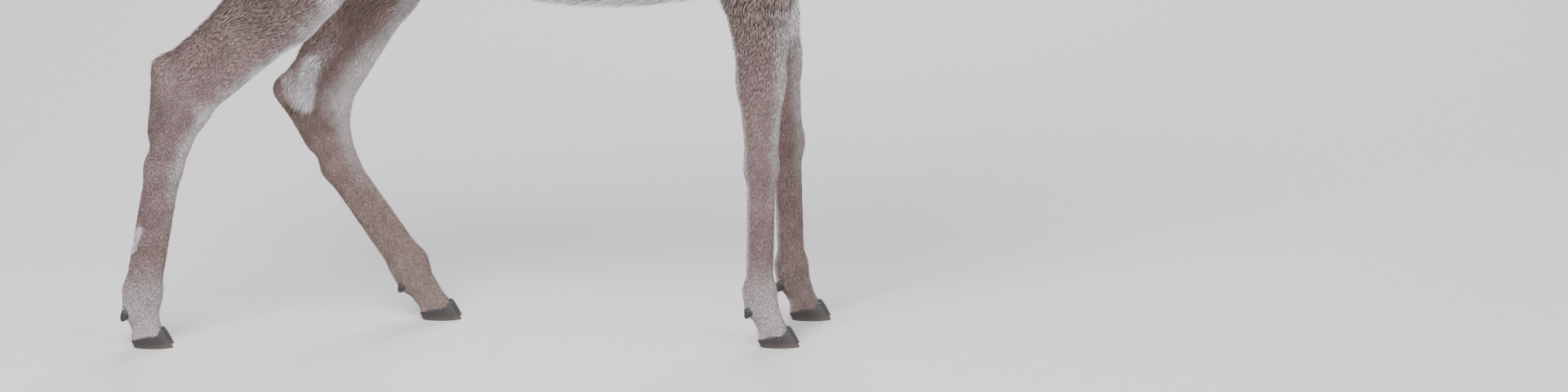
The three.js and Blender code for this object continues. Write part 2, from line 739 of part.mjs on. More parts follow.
let trunk = torso.subtract(beyond(neckCut)).subtract(region(tailSeat, gap));
for (const cuts of Object.values(cutsOf)) trunk = trunk.subtract(region(cuts.upper, gap));
coat("trunk", trunk);
const neckGrid = limbGrid(1, [1080, 0, 838], [1290, 0, 1175], [170, 170, 110], [110, 60], [38, 24.4, 50]);
coat("neck", flesh(neckGrid).intersect(beyond(neckCut, -gap)).subtract(beyond(headCut, gap)));
coat("tail", tail.intersect(beyond(tailCut)));

// A chain of pieces down a leg, each one parted from the next by a plane.
function placeLeg(name, leg, pieces, frames) {
  const cuts = cutsOf[name];
  const levels = [null, ...cuts.below, coronet(leg)];
  const claws = [1, -1].map((s) => dewclawSolid(leg, s, gap));
  pieces.forEach((piece, i) => {
    let s = frames[i] ? flesh(frames[i]) : torso;
    s = s.intersect(i === 0 ? region(cuts.upper) : beyond(levels[i]));
    s = s.subtract(beyond(levels[i + 1], gap));
    if (piece === "pastern") claws.forEach((claw) => (s = s.subtract(claw)));
    coat(name + "_" + piece, s);
  });
  [1, -1].forEach((s) => {
    const sideName = s * leg.side > 0 ? "outer" : "inner";
    horn(name + "_hoof_" + sideName, hoofSolid(leg, s));
    horn(name + "_dewclaw_" + sideName, dewclawSolid(leg, s));
  });
}

for (const name of ["hind_right", "hind_left"]) {
  const leg = legs[name];
  placeLeg(name, leg, ["thigh", "gaskin", "cannon", "pastern"], [
    null,
    limbGrid(leg.side, leg.hock, leg.stifle, [130, 110, 75], [110, 60], [23, 18, 38]),
    limbGrid(leg.side, leg.fetlock, leg.hock, [110, 80, 54], [20, 40], [16, 13.5, 45]),
    limbGrid(leg.side, [leg.toe[0] - 36, leg.foot[1], 8], leg.fetlock, [62, 56, 54], [12, 70], [19, 15.4, 26]),
  ]);
}
for (const name of ["fore_right", "fore_left"]) {
  const leg = legs[name];
  placeLeg(name, leg, ["elbow", "forearm", "cannon", "pastern"], [
    limbGrid(leg.side, leg.elbow, add(leg.elbow, [0, 0, 60]), [110, 110, 84], [90, 40], [30, 24, 27]),
    limbGrid(leg.side, leg.knee, leg.elbow, [90, 90, 78], [20, 20], [19, 17.3, 34]),
    limbGrid(leg.side, leg.fetlock, leg.knee, [70, 70, 50], [20, 80], [15, 12.5, 38]),
    limbGrid(leg.side, [leg.toe[0] - 36, leg.foot[1], 8], leg.fetlock, [62, 56, 54], [12, 70], [19, 15.4, 26]),
  ]);
}

const headGrid = grid(onHead(-70, -75, -170), [385, 150, 270], [27, 16.6, 20], headPitch);
let head = flesh(headGrid).intersect(beyond(headCut));
const nose = head.intersect(region(noseCuts));
const jaw = head.intersect(region(jawCuts));
head = head.subtract(region(noseCuts, gap)).subtract(region(jawCuts, gap));
for (const s of [1, -1]) head = head.subtract(eyeSolid(s, gap)).subtract(earSocket(s));
coat("head", head);
coat("lower_jaw", jaw);
place("nose", largest(nose), 0x171514, 0.4);
for (const s of [1, -1]) {
  const sideName = s > 0 ? "left" : "right";
  place("eye_" + sideName, eyeSolid(s), 0x1c120c, 0.08);
  coat("ear_" + sideName, earSolid(s));
}

// The origin is on the floor, under the middle of the whole animal.
const extent = new THREE.Box3().setFromObject(model);
model.position.set(-(extent.min.x + extent.max.x) / 2, -(extent.min.y + extent.max.y) / 2, -extent.min.z);

export default model;
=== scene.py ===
"""White-tailed deer doe in a slow walk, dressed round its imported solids.

The whole body is one smooth field, a blend of named muscles and sections, in millimetres of its own frame:
+X forwards, +Y to the animal's left, +Z up. The skin is meshed from that field and drawn in by the depth of
the coat. Tufts of hair are rooted on the skin and lie along the body, and their tips reach back out to the
field's surface. Everything is turned into the frame's metres at the end.
"""

import math
from functools import cache, partial

import bpy
import numpy as np
from bpy.props import FloatProperty, FloatVectorProperty, IntProperty, PointerProperty
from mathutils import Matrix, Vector


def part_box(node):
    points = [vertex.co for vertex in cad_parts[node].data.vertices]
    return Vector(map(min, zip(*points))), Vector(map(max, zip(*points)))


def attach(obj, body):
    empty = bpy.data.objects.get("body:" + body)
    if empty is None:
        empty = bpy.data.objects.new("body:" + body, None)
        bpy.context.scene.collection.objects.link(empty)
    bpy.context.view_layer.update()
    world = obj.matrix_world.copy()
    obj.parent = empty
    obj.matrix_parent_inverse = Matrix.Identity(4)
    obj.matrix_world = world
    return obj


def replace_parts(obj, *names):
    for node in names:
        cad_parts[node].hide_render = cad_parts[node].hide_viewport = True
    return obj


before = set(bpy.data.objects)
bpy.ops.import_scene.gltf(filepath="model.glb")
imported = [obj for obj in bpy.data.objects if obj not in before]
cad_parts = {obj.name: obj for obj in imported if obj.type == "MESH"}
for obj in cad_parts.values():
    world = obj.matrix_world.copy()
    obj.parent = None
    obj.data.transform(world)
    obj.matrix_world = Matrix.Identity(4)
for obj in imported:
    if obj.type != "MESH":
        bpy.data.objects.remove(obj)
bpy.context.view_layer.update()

bl_info = {
    "name": "White-tailed deer",
    "version": (1, 0, 0),
    "blender": (4, 5, 0),
    "location": "3D View > Sidebar > Deer",
    "description": "Dresses the solids of a walking doe with skin, coat, eyes and hooves",
    "category": "Object",
}

# ---------------------------------------------------------------------------------------------------------
# Sizes of the body, in millimetres

STANCE = 84
SOFT = 26
MILLIMETRE = 0.001

# [x, top, widest level, bottom, half width]
TRUNK = (
    (172, 866, 836, 802, 26), (200, 880, 840, 776, 38), (232, 893, 838, 742, 62), (290, 914, 815, 690, 92),
    (370, 925, 785, 640, 108), (460, 918, 765, 606, 113), (560, 906, 745, 578, 117),
    (660, 900, 725, 557, 124), (760, 900, 712, 549, 127), (850, 905, 712, 553, 121),
    (930, 917, 725, 562, 108), (1000, 925, 735, 572, 95), (1060, 890, 740, 596, 86),
    (1100, 848, 735, 612, 76), (1132, 808, 725, 640, 60), (1158, 772, 712, 668, 42),
)
# [distance, nape, throat, half width]
NECK_START = (1050, 0, 790)
NECK_PITCH = 58
NECK = (
    (-40, 150, 120, 92), (30, 148, 112, 84), (110, 113, 94, 67), (200, 84, 77, 54), (300, 64, 62, 46),
    (390, 55, 55, 43), (430, 45, 48, 37), (468, 24, 34, 26),
)
# [distance, above, below, half width]
HEAD_START = (1270, 0, 1176)
HEAD_PITCH = -20
HEAD = (
    (-26, 18, 14, 15), (0, 43, 30, 32), (30, 55, 47, 42), (60, 59, 60, 47), (90, 59, 64, 49),
    (116, 55, 62, 47), (141, 48, 57, 41), (171, 40, 50, 33), (211, 34, 44, 27.5), (246, 31, 40, 25.5),
    (268, 30, 36, 25.5), (281, 26, 29, 23), (288, 18, 20, 17),
)
EYE = {"along": 114, "above": 24, "out": 38, "radius": 15}
LID = (14.2, 9.2)  # half the length and half the height of the opening between the lids
EAR = {
    "along": 44, "above": 38, "out": 30, "length": 172, "bow": 10,
    "lean": (-0.12, 0.66, 0.75), "open": (0.9, 0.42, -0.2),
}
# [level, radius of the cup, half angle it spans, wall]
EAR_STATIONS = (
    (-0.1, 9, 2.7, 15), (0.06, 14, 2.5, 8), (0.15, 18, 2.15, 6), (0.27, 25, 1.7, 5), (0.4, 34, 1.33, 4.4),
    (0.53, 41, 1.12, 4), (0.66, 43, 0.98, 3.6), (0.78, 41, 0.82, 3.2), (0.88, 36, 0.64, 2.8),
    (0.95, 28, 0.45, 2.2), (1, 20, 0.14, 1.6),
)
# Joint centres of each leg, for a leg at the left
FORE_STEP = 52
LEGS = {
    "hind_right": {
        "side": -1, "hip": (275, 66, 828), "stifle": (300, 97, 598), "hock": (84, 80, 401),
        "heel": (53, 80, 467), "cannon": (47, 81, 300), "fetlock": (9, STANCE, 90),
        "dewclaw": (-20, STANCE, 54), "foot": (12, STANCE + 1, 40), "toe": (59, STANCE + 1, 0),
    },
    "hind_left": {
        "side": 1, "hip": (297, 66, 806), "stifle": (443, 97, 604), "hock": (302, 80, 362),
        "heel": (241, 80, 391), "cannon": (325, 81, 262), "fetlock": (437, STANCE, 92),
        "dewclaw": (426, STANCE, 56), "foot": (466, STANCE + 1, 42), "toe": (524, STANCE + 1, 0),
    },
    "fore_right": {
        "side": -1, "elbow": (1019, 84, 570), "knee": (1020, 80, 303), "fetlock": (1017, STANCE - 3, 90),
        "dewclaw": (999, STANCE - 3, 58), "foot": (1032, STANCE - 2, 41), "toe": (1083, STANCE - 2, 0),
    },
    "fore_left": {
        "side": 1, "elbow": (1032, 84, 572), "knee": (1062, 80, 303),
        "fetlock": (1017 + FORE_STEP, STANCE - 3, 90), "dewclaw": (999 + FORE_STEP, STANCE - 3, 58),
        "foot": (1032 + FORE_STEP, STANCE - 2, 41), "toe": (1083 + FORE_STEP, STANCE - 2, 0),
    },
}
HOOF = {"length": 64, "width": 20.5, "height": 33, "heel": 17, "spread": 12.5}
DEWCLAW = {"length": 22, "width": 14, "spread": 14}
# [x, z, half thickness, half width] out to the hair, and the same for the tail's own flesh
TAIL = (
    (218, 868, 18, 24), (174, 856, 19, 29), (150, 820, 18, 38), (141, 768, 17, 44), (138, 712, 15, 42),
    (137, 662, 12, 31), (136, 626, 7, 15),
)
TAIL_FLESH = (
    (222, 866, 15, 20), (176, 852, 14, 24), (152, 816, 12, 31), (143, 768, 11, 35), (140, 714, 9, 32),
    (139, 672, 6, 21),
)

VIEW_MIDDLE = (1057, -85, 253)
PARTS = ("trunk", "neck", "head", "hind_right", "hind_left", "fore_right", "fore_left")
SIDES = (1, -1)

# ---------------------------------------------------------------------------------------------------------
# Vectors, tables and smooth steps


def vec(*values):
    return np.array(values, float)


def pitched(degrees):
    return vec(math.cos(math.radians(degrees)), 0, math.sin(math.radians(degrees)))


def mix(a, b, t):
    return np.asarray(a, float) + (np.asarray(b, float) - np.asarray(a, float)) * t


def add(a, b, k=1.0):
    return np.asarray(a, float) + np.asarray(b, float) * k


def unit(v):
    return v / np.maximum(np.linalg.norm(v, axis=-1, keepdims=True), 1e-9)


def dots(a, b):
    return (a * b).sum(-1)


def rise(low, high, value):
    """Smooth step from 0 at low to 1 at high, or the other way where low is the greater."""
    t = np.clip((value - low) / (high - low), 0, 1)
    return t * t * (3 - 2 * t)


def table(rows, s):
    """Columns of a table of stations, linear between them."""
    rows = np.array(rows, float)
    order = np.argsort(rows[:, 0])
    return [np.interp(s, rows[order, 0], rows[order, c]) for c in range(1, rows.shape[1])]


def station_at(stations, s):
    """Catmull-Rom interpolation of the columns of a table of stations."""
    rows = np.array(stations, float)
    s = np.clip(s, rows[0, 0], rows[-1, 0])
    last = len(rows) - 1
    i = np.clip(np.searchsorted(rows[:, 0], s, side="left") - 1, 0, last - 1)
    p0, p1, p2, p3 = rows[np.maximum(i - 1, 0)], rows[i], rows[i + 1], rows[np.minimum(i + 2, last)]
    span = p2[:, :1] - p1[:, :1]
    t = (s[:, None] - p1[:, :1]) / span
    m1 = (p2 - p0) / (p2[:, :1] - p0[:, :1]) * span
    m2 = (p3 - p1) / (p3[:, :1] - p1[:, :1]) * span
    t2, t3 = t * t, t * t * t
    return ((2 * t3 - 3 * t2 + 1) * p1 + (t3 - 2 * t2 + t) * m1 + (3 * t2 - 2 * t3) * p2 + (t3 - t2) * m2).T


def smooth_min(a, b, k):
    h = np.maximum(k - np.abs(a - b), 0) / k
    return np.minimum(a, b) - h * h * k / 4


def smooth_max(a, b, k):
    return -smooth_min(-a, -b, k)


def capsule(p, a, b):
    """Distance of points from a straight line between two points."""
    a, b = np.asarray(a, float), np.asarray(b, float)
    d = b - a
    t = np.clip((p - a) @ d / max(d @ d, 1e-9), 0, 1)
    return np.linalg.norm(p - a - t[:, None] * d, axis=1)


def place_along(p, start, pitch):
    """Distances of points along a pitched axis and above it."""
    ahead = pitched(pitch)
    q = p - start
    return q @ ahead, q[:, 2] * ahead[0] - q[:, 0] * ahead[2]


def neck_place(p):
    return place_along(p, NECK_START, NECK_PITCH)


def head_place(p):
    return place_along(p, HEAD_START, HEAD_PITCH)


def on_side(leg, point):
    """A point of a leg, on the leg's own side of the body."""
    return np.asarray(point, float) * (1, leg["side"], 1)


WAVES = np.random.default_rng(7).normal(size=(3, 12, 3))
PHASES = np.random.default_rng(8).uniform(0, 2 * math.pi, size=(3, 12))


def wander(p, size, kind=0):
    """Smooth wandering value, mostly within -1 to 1, over lengths of about the given size."""
    waves = unit(WAVES[kind]) * (2 * math.pi / size) * np.linspace(0.6, 1.5, 12)[:, None]
    return np.sin(p @ waves.T + PHASES[kind]).sum(1) / 3.2


# ---------------------------------------------------------------------------------------------------------
# Forms: each gives the distance from points to its surface, less than zero inside

FAR = 90.0


class Form:
    def __init__(self, distance, blend, middle, reach):
        self.distance, self.blend = distance, blend
        self.middle, self.reach = np.asarray(middle, float), reach

    def near(self, p):
        return np.flatnonzero(np.abs(p - self.middle).max(1) < self.reach + FAR)


def taper(a, b, ra, rb, flat=1.0, blend=SOFT):
    """A limb or muscle with round ends, flattened sideways."""
    a, b = np.asarray(a, float), np.asarray(b, float)
    squeeze = vec(1, 1 / flat, 1)
    d = (b - a) * squeeze

    def distance(p):
        q = (p - a) * squeeze
        t = np.clip(q @ d / (d @ d), 0, 1)
        return np.linalg.norm(q - t[:, None] * d, axis=1) - (ra + (rb - ra) * t)

    return Form(distance, blend, (a + b) / 2, np.linalg.norm(b - a) / 2 + max(ra, rb) * max(1, flat))


def ball(c, r, pitch=0, blend=SOFT):
    """An ellipsoid with radii along, across and above, tipped up by a pitch in degrees."""
    cos, _, sin = pitched(pitch)
    r = np.asarray(r, float)

    def distance(p):
        dx, dz = p[:, 0] - c[0], p[:, 2] - c[2]
        q = np.stack((dx * cos + dz * sin, p[:, 1] - c[1], dz * cos - dx * sin), 1)
        k0 = np.linalg.norm(q / r, axis=1)
        k1 = np.maximum(np.linalg.norm(q / r**2, axis=1), 1e-9)
        return k0 * (k0 - 1) / k1

    return Form(distance, blend, c, r.max())


def capped(inside, size, narrow, past):
    """A tube whose section is given as a share of its size, closed by rounded ends."""
    a, b = inside * size + 0.8 * narrow, past + 0.8 * narrow
    return np.minimum(np.maximum(a, b), 0) + np.hypot(np.maximum(a, 0), np.maximum(b, 0)) - 0.8 * narrow


def section(start, pitch, stations, power, blend=SOFT):
    """A body section that changes along a straight axis: above, below and half width at each station."""
    ahead = pitched(pitch)
    first, end = stations[0][0], stations[-1][0]

    def distance(p):
        dx, dz = p[:, 0] - start[0], p[:, 2] - start[2]
        s = dx * ahead[0] + dz * ahead[2]
        h = dz * ahead[0] - dx * ahead[2]
        _, above, below, half = station_at(stations, s)
        reach = np.where(h > 0, above, below)
        inside = (np.abs(p[:, 1] / half) ** power + np.abs(h / reach) ** power) ** (1 / power) - 1
        narrow = np.minimum(half, np.minimum(above, below))
        return capped(inside, np.minimum(half, reach), narrow, np.maximum(first - s, s - end))

    middle = np.asarray(start, float) + ahead * (first + end) / 2
    return Form(distance, blend, middle, (end - first) / 2 + max(max(row[1:]) for row in stations))


def barrel(stations, power, blend):
    """The trunk's section, whose widest level moves along it."""
    first, end = stations[0][0], stations[-1][0]

    def distance(p):
        _, top, widest, bottom, half = station_at(stations, p[:, 0])
        h = p[:, 2] - widest
        reach = np.where(h > 0, top - widest, widest - bottom)
        inside = (np.abs(p[:, 1] / half) ** power + np.abs(h / reach) ** power) ** (1 / power) - 1
        narrow = np.minimum(half, np.minimum(top - widest, widest - bottom))
        return capped(inside, np.minimum(half, reach), narrow, np.maximum(first - p[:, 0], p[:, 0] - end))

    return Form(distance, blend, ((first + end) / 2, 0, 740), (end - first) / 2 + 60)


def trunk_forms():
    forms = [barrel(TRUNK, 2.15, 30), ball((1080, 0, 688), (92, 60, 64), 58, 50)]
    # Shoulder blades, upper arms, triceps and the points of the buttocks
    forms += [taper((965, s * 34, 862), (1085, s * 66, 735), 46, 56, 0.7, 40) for s in SIDES]
    forms += [taper((1092, s * 70, 708), (1030, s * 82, 600), 54, 46, 0.66, 34) for s in SIDES]
    forms += [taper((955, s * 62, 745), (990, s * 80, 612), 60, 38, 0.62, 40) for s in SIDES]
    forms += [ball((232, s * 46, 800), (52, 44, 70), 0, 34) for s in SIDES]
    return forms


def neck_forms():
    windpipe = taper((1240, 0, 1130), (1150, 0, 960), 40, 50, 0.8, 30)
    nape = taper((1236, 0, 1126), on_head(36, 0, 8), 47, 44, 0.86, 30)
    return [section(NECK_START, NECK_PITCH, NECK, 2.1, 44), windpipe, nape]


def on_head(along, out, above):
    """A point from its distances along the head's axis, to the left of it and above it."""
    ahead, _, up = pitched(HEAD_PITCH)
    x, _, z = HEAD_START
    return vec(x + ahead * along - up * above, out, z + up * along + ahead * above)


def head_forms():
    h = on_head
    tip = HEAD_PITCH
    forms = [section(HEAD_START, tip, HEAD, 2.25, 26), ball(h(84, 0, 33), (48, 33, 26), tip, 16)]
    forms += [ball(h(EYE["along"], s * 31, EYE["above"] + 2), (25, 18, 21), tip, 10) for s in SIDES]
    forms += [taper(h(135, s * 34, 0), h(74, s * 40, 12), 13, 13, 0.8, 16) for s in SIDES]  # cheekbone
    forms += [ball(h(68, s * 30, -28), (40, 17, 34), tip, 18) for s in SIDES]  # jaw muscle
    forms += [taper(h(238, s * 9, -27), h(90, s * 24, -42), 13, 17, 0.75, 14) for s in SIDES]  # lower jaw
    forms += [ball(h(264, 0, -29), (20, 17, 12), tip, 10)]  # chin
    forms += [ball(h(267, 0, -8), (21, 24.5, 18), tip, 12)]  # upper lip
    forms += [ball(h(274, 0, 10), (18, 22, 18), tip, 8)]  # nose
    return forms


def digit_forms(leg):
    """The two toes down to their hooves, and the bulb of each heel."""
    at = partial(on_side, leg)
    top = mix(leg["fetlock"], leg["foot"], 0.55)
    low = vec(leg["toe"][0] - HOOF["length"] * 0.56, leg["foot"][1], HOOF["heel"] + 3)
    heel = vec(leg["toe"][0] - HOOF["length"] * 0.9, leg["foot"][1], HOOF["heel"] + 2)
    forms = []
    for s in SIDES:
        out = vec(0, s * HOOF["spread"], 0)
        forms.append(taper(at(add(top, out, 0.8)), at(add(low, out)), 17, 17, 0.64, 8))
        forms.append(taper(at(add(leg["foot"], out, 0.8)), at(add(heel, out)), 15, 12, 0.7, 8))
    return forms


def hind_leg_forms(leg):
    at = partial(on_side, leg)

    hip, stifle, hock, heel, cannon, fetlock, foot = (
        leg[k] for k in ("hip", "stifle", "hock", "heel", "cannon", "fetlock", "foot")
    )
    ham = add(hip, (-42, 8, -70))
    calf = add(mix(stifle, heel, 0.42), (-14, 0, 22))
    pad = mix(leg["dewclaw"], mix(fetlock, foot, 0.4), 0.5)
    return [
        ball(at(add(hip, (10, -4, 8))), (108, 50, 88), 0, 40),
        taper(at(add(hip, (44, 8, -30))), at(add(stifle, (6, -2, 22))), 74, 44, 0.66, 40),
        taper(at(ham), at(mix(ham, calf, 0.72)), 72, 44, 0.6, 40),
        taper(at(add(hip, (-10, 16, -60))), at(mix(stifle, hock, 0.2)), 78, 46, 0.56, 40),
        taper(at(add(stifle, (16, -12, 44))), at((stifle[0] + 120, 78, 664)), 46, 44, 0.62, 40),
        taper(at((hip[0] - 10, 24, 700)), at((stifle[0] + 60, 46, 664)), 44, 50, 0.7, 40),
        taper(at(add(stifle, (-4, 0, -4))), at(mix(stifle, hock, 0.94)), 46, 34, 0.72, 26),
        taper(at(calf), at(mix(calf, heel, 0.6)), 38, 18, 0.6, 28),
        taper(at(mix(calf, heel, 0.4)), at(heel), 17, 20, 0.62, 16),
        taper(at(mix(stifle, heel, 0.5)), at(mix(hock, heel, 0.5)), 46, 30, 0.36, 20),
        ball(at(add(hock, (2, 0, 4))), (38, 28, 42), 0, 18),
        taper(at(heel), at(mix(heel, cannon, 0.62)), 21, 28, 0.72, 18),
        taper(at(hock), at(cannon), 35, 30, 0.7, 20),
        taper(at(cannon), at(fetlock), 29.5, 30, 0.68, 16),
        ball(at(fetlock), (31, 24, 32), 0, 14),
        taper(at(fetlock), at(foot), 27, 25, 0.84, 12),
        ball(at(pad), (20, 21, 22), 0, 12),
        *digit_forms(leg),
    ]


def fore_leg_forms(leg):
    at = partial(on_side, leg)

    elbow, knee, fetlock, foot = (leg[k] for k in ("elbow", "knee", "fetlock", "foot"))
    pad = mix(leg["dewclaw"], mix(fetlock, foot, 0.4), 0.5)
    return [
        taper(at(add(elbow, (-34, -4, 28))), at(mix(elbow, knee, 0.25)), 28, 30, 0.66, 30),
        taper(at(elbow), at(mix(elbow, knee, 0.5)), 51, 37, 0.62, 30),
        taper(at(mix(elbow, knee, 0.45)), at(knee), 38, 26, 0.64, 20),
        ball(at(knee), (28, 24, 34), 0, 14),
        taper(at(add(knee, (0, 0, -18))), at(fetlock), 24, 22.5, 0.8, 14),
        ball(at(fetlock), (27, 22.5, 28), 0, 12),
        taper(at(fetlock), at(foot), 24, 23.5, 0.86, 12),
        ball(at(pad), (18, 19, 20), 0, 12),
        *digit_forms(leg),
    ]


def tail_forms(stations):
    forms = []
    for (x0, z0, deep0, half0), (x1, z1, deep1, half1) in zip(stations, stations[1:]):
        flat = (half0 + half1) / (deep0 + deep1)
        forms.append(taper((x0, 0, z0), (x1, 0, z1), deep0, deep1, flat, 12))
    return forms


def eye_axes(side):
    """Centre of an eye, and its directions forwards, upwards and outwards."""
    centre = on_head(EYE["along"], side * EYE["out"], EYE["above"])
    out = unit(pitched(HEAD_PITCH) * 0.26 + vec(0, side, 0) + pitched(HEAD_PITCH + 90) * 0.1)
    ahead = pitched(HEAD_PITCH + 4)
    ahead = unit(ahead - out * (ahead @ out))
    up = np.cross(out, ahead) * side * -1
    return centre, ahead, up if up[2] > 0 else -up, out


def almond(side, p, grow=0.0):
    """Distance of points outside the almond between the lids: where two circles overlap."""
    centre, ahead, up, _ = eye_axes(side)
    long, high = LID[0] + grow, LID[1] + grow
    radius = (long**2 + high**2) / (2 * high)
    q = p - centre
    u, v = q @ ahead, q @ up - 0.06 * (q @ ahead)
    return np.maximum(np.hypot(u, v + radius - high), np.hypot(u, v - radius + high)) - radius, v


def lid_opening(side):
    """The opening between the lids, down to just under the eyeball."""
    centre, _, _, out = eye_axes(side)

    def distance(p):
        q = p - centre
        above_ball = EYE["radius"] - 1.4 - np.linalg.norm(q, axis=1)
        return np.maximum(almond(side, p)[0], smooth_max(above_ball, 6.5 - q @ out, 2))

    return Form(distance, 0.8, centre + out * 14, 24)


def hollow_forms():
    h = on_head
    tip = HEAD_PITCH
    forms = [ball(h(148, s * 44, 16), (20, 7, 8), tip, 12) for s in SIDES]
    forms += [ball((430, s * 126, 800), (70, 16, 70), 0, 40) for s in SIDES]
    forms += [ball(h(200, s * 40, 4), (44, 14, 13), tip, 14) for s in SIDES]
    return forms


def lid_forms():
    """The swell of the lids over the eyeball, and of the head into the root of each ear."""
    forms = []
    for s in SIDES:
        centre, ahead, up, out = eye_axes(s)
        forms.append(ball(centre + out * 0.6, (17.4, 17.4, 16.4), 0, 6))
        forms.append(taper(*(ear_point(s, t, 0, 0) for t in (-0.06, 0.09)), 15, 12, 1, 14))
    return forms


def ear_axes(side):
    base = on_head(EAR["along"], side * EAR["out"], EAR["above"])
    up = unit(vec(*EAR["lean"]) * (1, side, 1))
    ahead = vec(*EAR["open"]) * (1, side, 1)
    ahead = unit(ahead - up * (ahead @ up))
    return base, up, ahead, np.cross(up, ahead)


def ear_point(side, t, rho, angle):
    """A point on an ear, from its level, the distance from the middle of its cup and the angle round it."""
    base, up, ahead, across = ear_axes(side)
    t = np.atleast_1d(np.asarray(t, float))
    _, radius, turn, _ = station_at(EAR_STATIONS, t)
    forward = radius * (1 + np.cos(turn)) / 2 - rho * np.cos(angle) - EAR["bow"] * np.sin(math.pi * t)
    p = base + up * (EAR["length"] * t)[:, None]
    p = p + across * np.atleast_1d(rho * np.sin(angle))[:, None] + ahead * forward[:, None]
    return p[0] if len(p) == 1 else p


MUSCLES = {
    "trunk": trunk_forms(),
    "neck": neck_forms(),
    "head": head_forms(),
    **{name: hind_leg_forms(LEGS[name]) for name in ("hind_right", "hind_left")},
    **{name: fore_leg_forms(LEGS[name]) for name in ("fore_right", "fore_left")},
}
TAIL_HAIR = tail_forms(TAIL)
HOLLOWS = hollow_forms()
LID_FORMS = lid_forms()
LID_OPENINGS = [lid_opening(s) for s in SIDES]


def blended(forms, p, start=1000.0):
    """Distance to forms that melt into one another, and into what is there at the start."""
    d = np.full(len(p), start)
    for form in forms:
        pick = form.near(p)
        if pick.size:
            d[pick] = smooth_min(d[pick], form.distance(p[pick]), form.blend)
    return d


def carve(d, hollows, p):
    for form in hollows:
        pick = form.near(p)
        if pick.size:
            d[pick] = -smooth_min(-d[pick], form.distance(p[pick]), form.blend)
    return d


def part_distances(p):
    """Distance of points to the nearest form of each part of the body."""
    result = np.full((len(p), len(PARTS)), 400.0)
    for i, name in enumerate(PARTS):
        for form in MUSCLES[name]:
            pick = form.near(p)
            if pick.size:
                result[pick, i] = np.minimum(result[pick, i], form.distance(p[pick]))
    return result


def coat_field(p):
    """Distance to the tips of the coat, as the solids have it."""
    return carve(blended([f for name in PARTS for f in MUSCLES[name]], p), HOLLOWS, p)


@cache
def face_lines(side):
    """The line of the lips, the comma of the nostril and the split of the upper lip, laid on the face."""
    lips = [(291, 0.5, -17), (285, 11, -19), (273, 20, -22), (258, 25, -25), (240, 26, -25), (222, 26, -21)]
    comma = [(289, 7.5, 1), (286.5, 12.5, 6), (281, 17, 10.5), (274, 20, 10), (269, 22, 7)]
    split = [(291, 0, -17), (292, 0, -8), (292, 0, 0)]
    return [onto(coat_field, np.array([on_head(a, side * o, h) for a, o, h in line]), 4)
            for line in (lips, comma, split)]


def along_line(p, line):
    """Distance of points from a line, and how far along it they lie, from 0 to 1."""
    near = np.stack([capsule(p, a, b) for a, b in zip(line, line[1:])])
    pick = near.argmin(0)
    a, b = line[:-1][pick], line[1:][pick]
    t = np.clip(dots(p - a, b - a) / dots(b - a, b - a), 0, 1)
    return near.min(0), (pick + t) / (len(line) - 1)


def pressed(p):
    """How deep the skin is drawn in at the lips, the nostrils, the split above them and the lids' folds."""
    deep = np.zeros(len(p))
    close = np.flatnonzero(head_place(p)[0] > 205)
    q = p[close]
    for s in SIDES:
        lips, comma, split = face_lines(s)
        away, t = along_line(q, lips)
        cut = 2.4 * rise(2.7, 0.3, away) * rise(1.02, 0.75, t)
        away, t = along_line(q, comma)
        wide = np.interp(t, (0, 0.25, 0.5, 1), (3.6, 4.6, 4.0, 2.2))
        deepest = np.interp(t, (0, 0.3, 0.6, 1), (5.5, 6.5, 4.5, 1.5))
        cut = np.maximum(cut, deepest * rise(1, 0.35, away / wide))
        away, t = along_line(q, split)
        cut = np.maximum(cut, 1.1 * rise(1.9, 0.2, away))
        deep[close] = np.maximum(deep[close], cut)
        centre, _, _, out = eye_axes(s)
        eye = np.flatnonzero(np.linalg.norm(p - centre - out * 8, axis=1) < 32)
        away, v = almond(s, p[eye])
        deep[eye] += 1.0 * rise(1.8, 0.2, np.abs(away - 5.4)) * rise(-1, 5, v)
        deep[eye] += 0.7 * rise(2.2, 0.2, np.abs(away - 6.4)) * rise(1, -5, v)
    return deep


def closed_field(p):
    """Distance to the tips of the coat, with the swell of the closed lids and of the roots of the ears."""
    return blended(LID_FORMS, p, coat_field(p))


def skin_field(p):
    """The same with the opening between the lids."""
    return carve(closed_field(p), LID_OPENINGS, p)


def gradient(field, p, step=0.4):
    d = field(p)
    slope = np.stack([(field(p + step * np.eye(3)[axis]) - d) / step for axis in range(3)], 1)
    return d, slope


def onto(field, p, steps=2, most=6.0):
    """Newton steps along the slope of a field, to its surface."""
    for _ in range(steps):
        d, slope = gradient(field, p)
        steep = np.maximum(dots(slope, slope), 0.05)
        move = slope * (-d / steep)[:, None]
        length = np.linalg.norm(move, axis=1, keepdims=True)
        p = p + move * np.minimum(1, most / np.maximum(length, 1e-9))
    return p


# ---------------------------------------------------------------------------------------------------------
# Meshing the skin: a surface net, split where the shape is finer, and moved onto the field at each split

NET_CELL = 9.0
COARSE = 4
CORNERS = np.array([(c & 1, (c >> 1) & 1, c >> 2) for c in range(8)])
CORNER_PAIRS = [(a, a | bit) for a in range(8) for bit in (1, 2, 4) if not a & bit]


def grid_points(axes):
    return np.stack(np.meshgrid(*axes, indexing="ij"), -1).reshape(-1, 3)


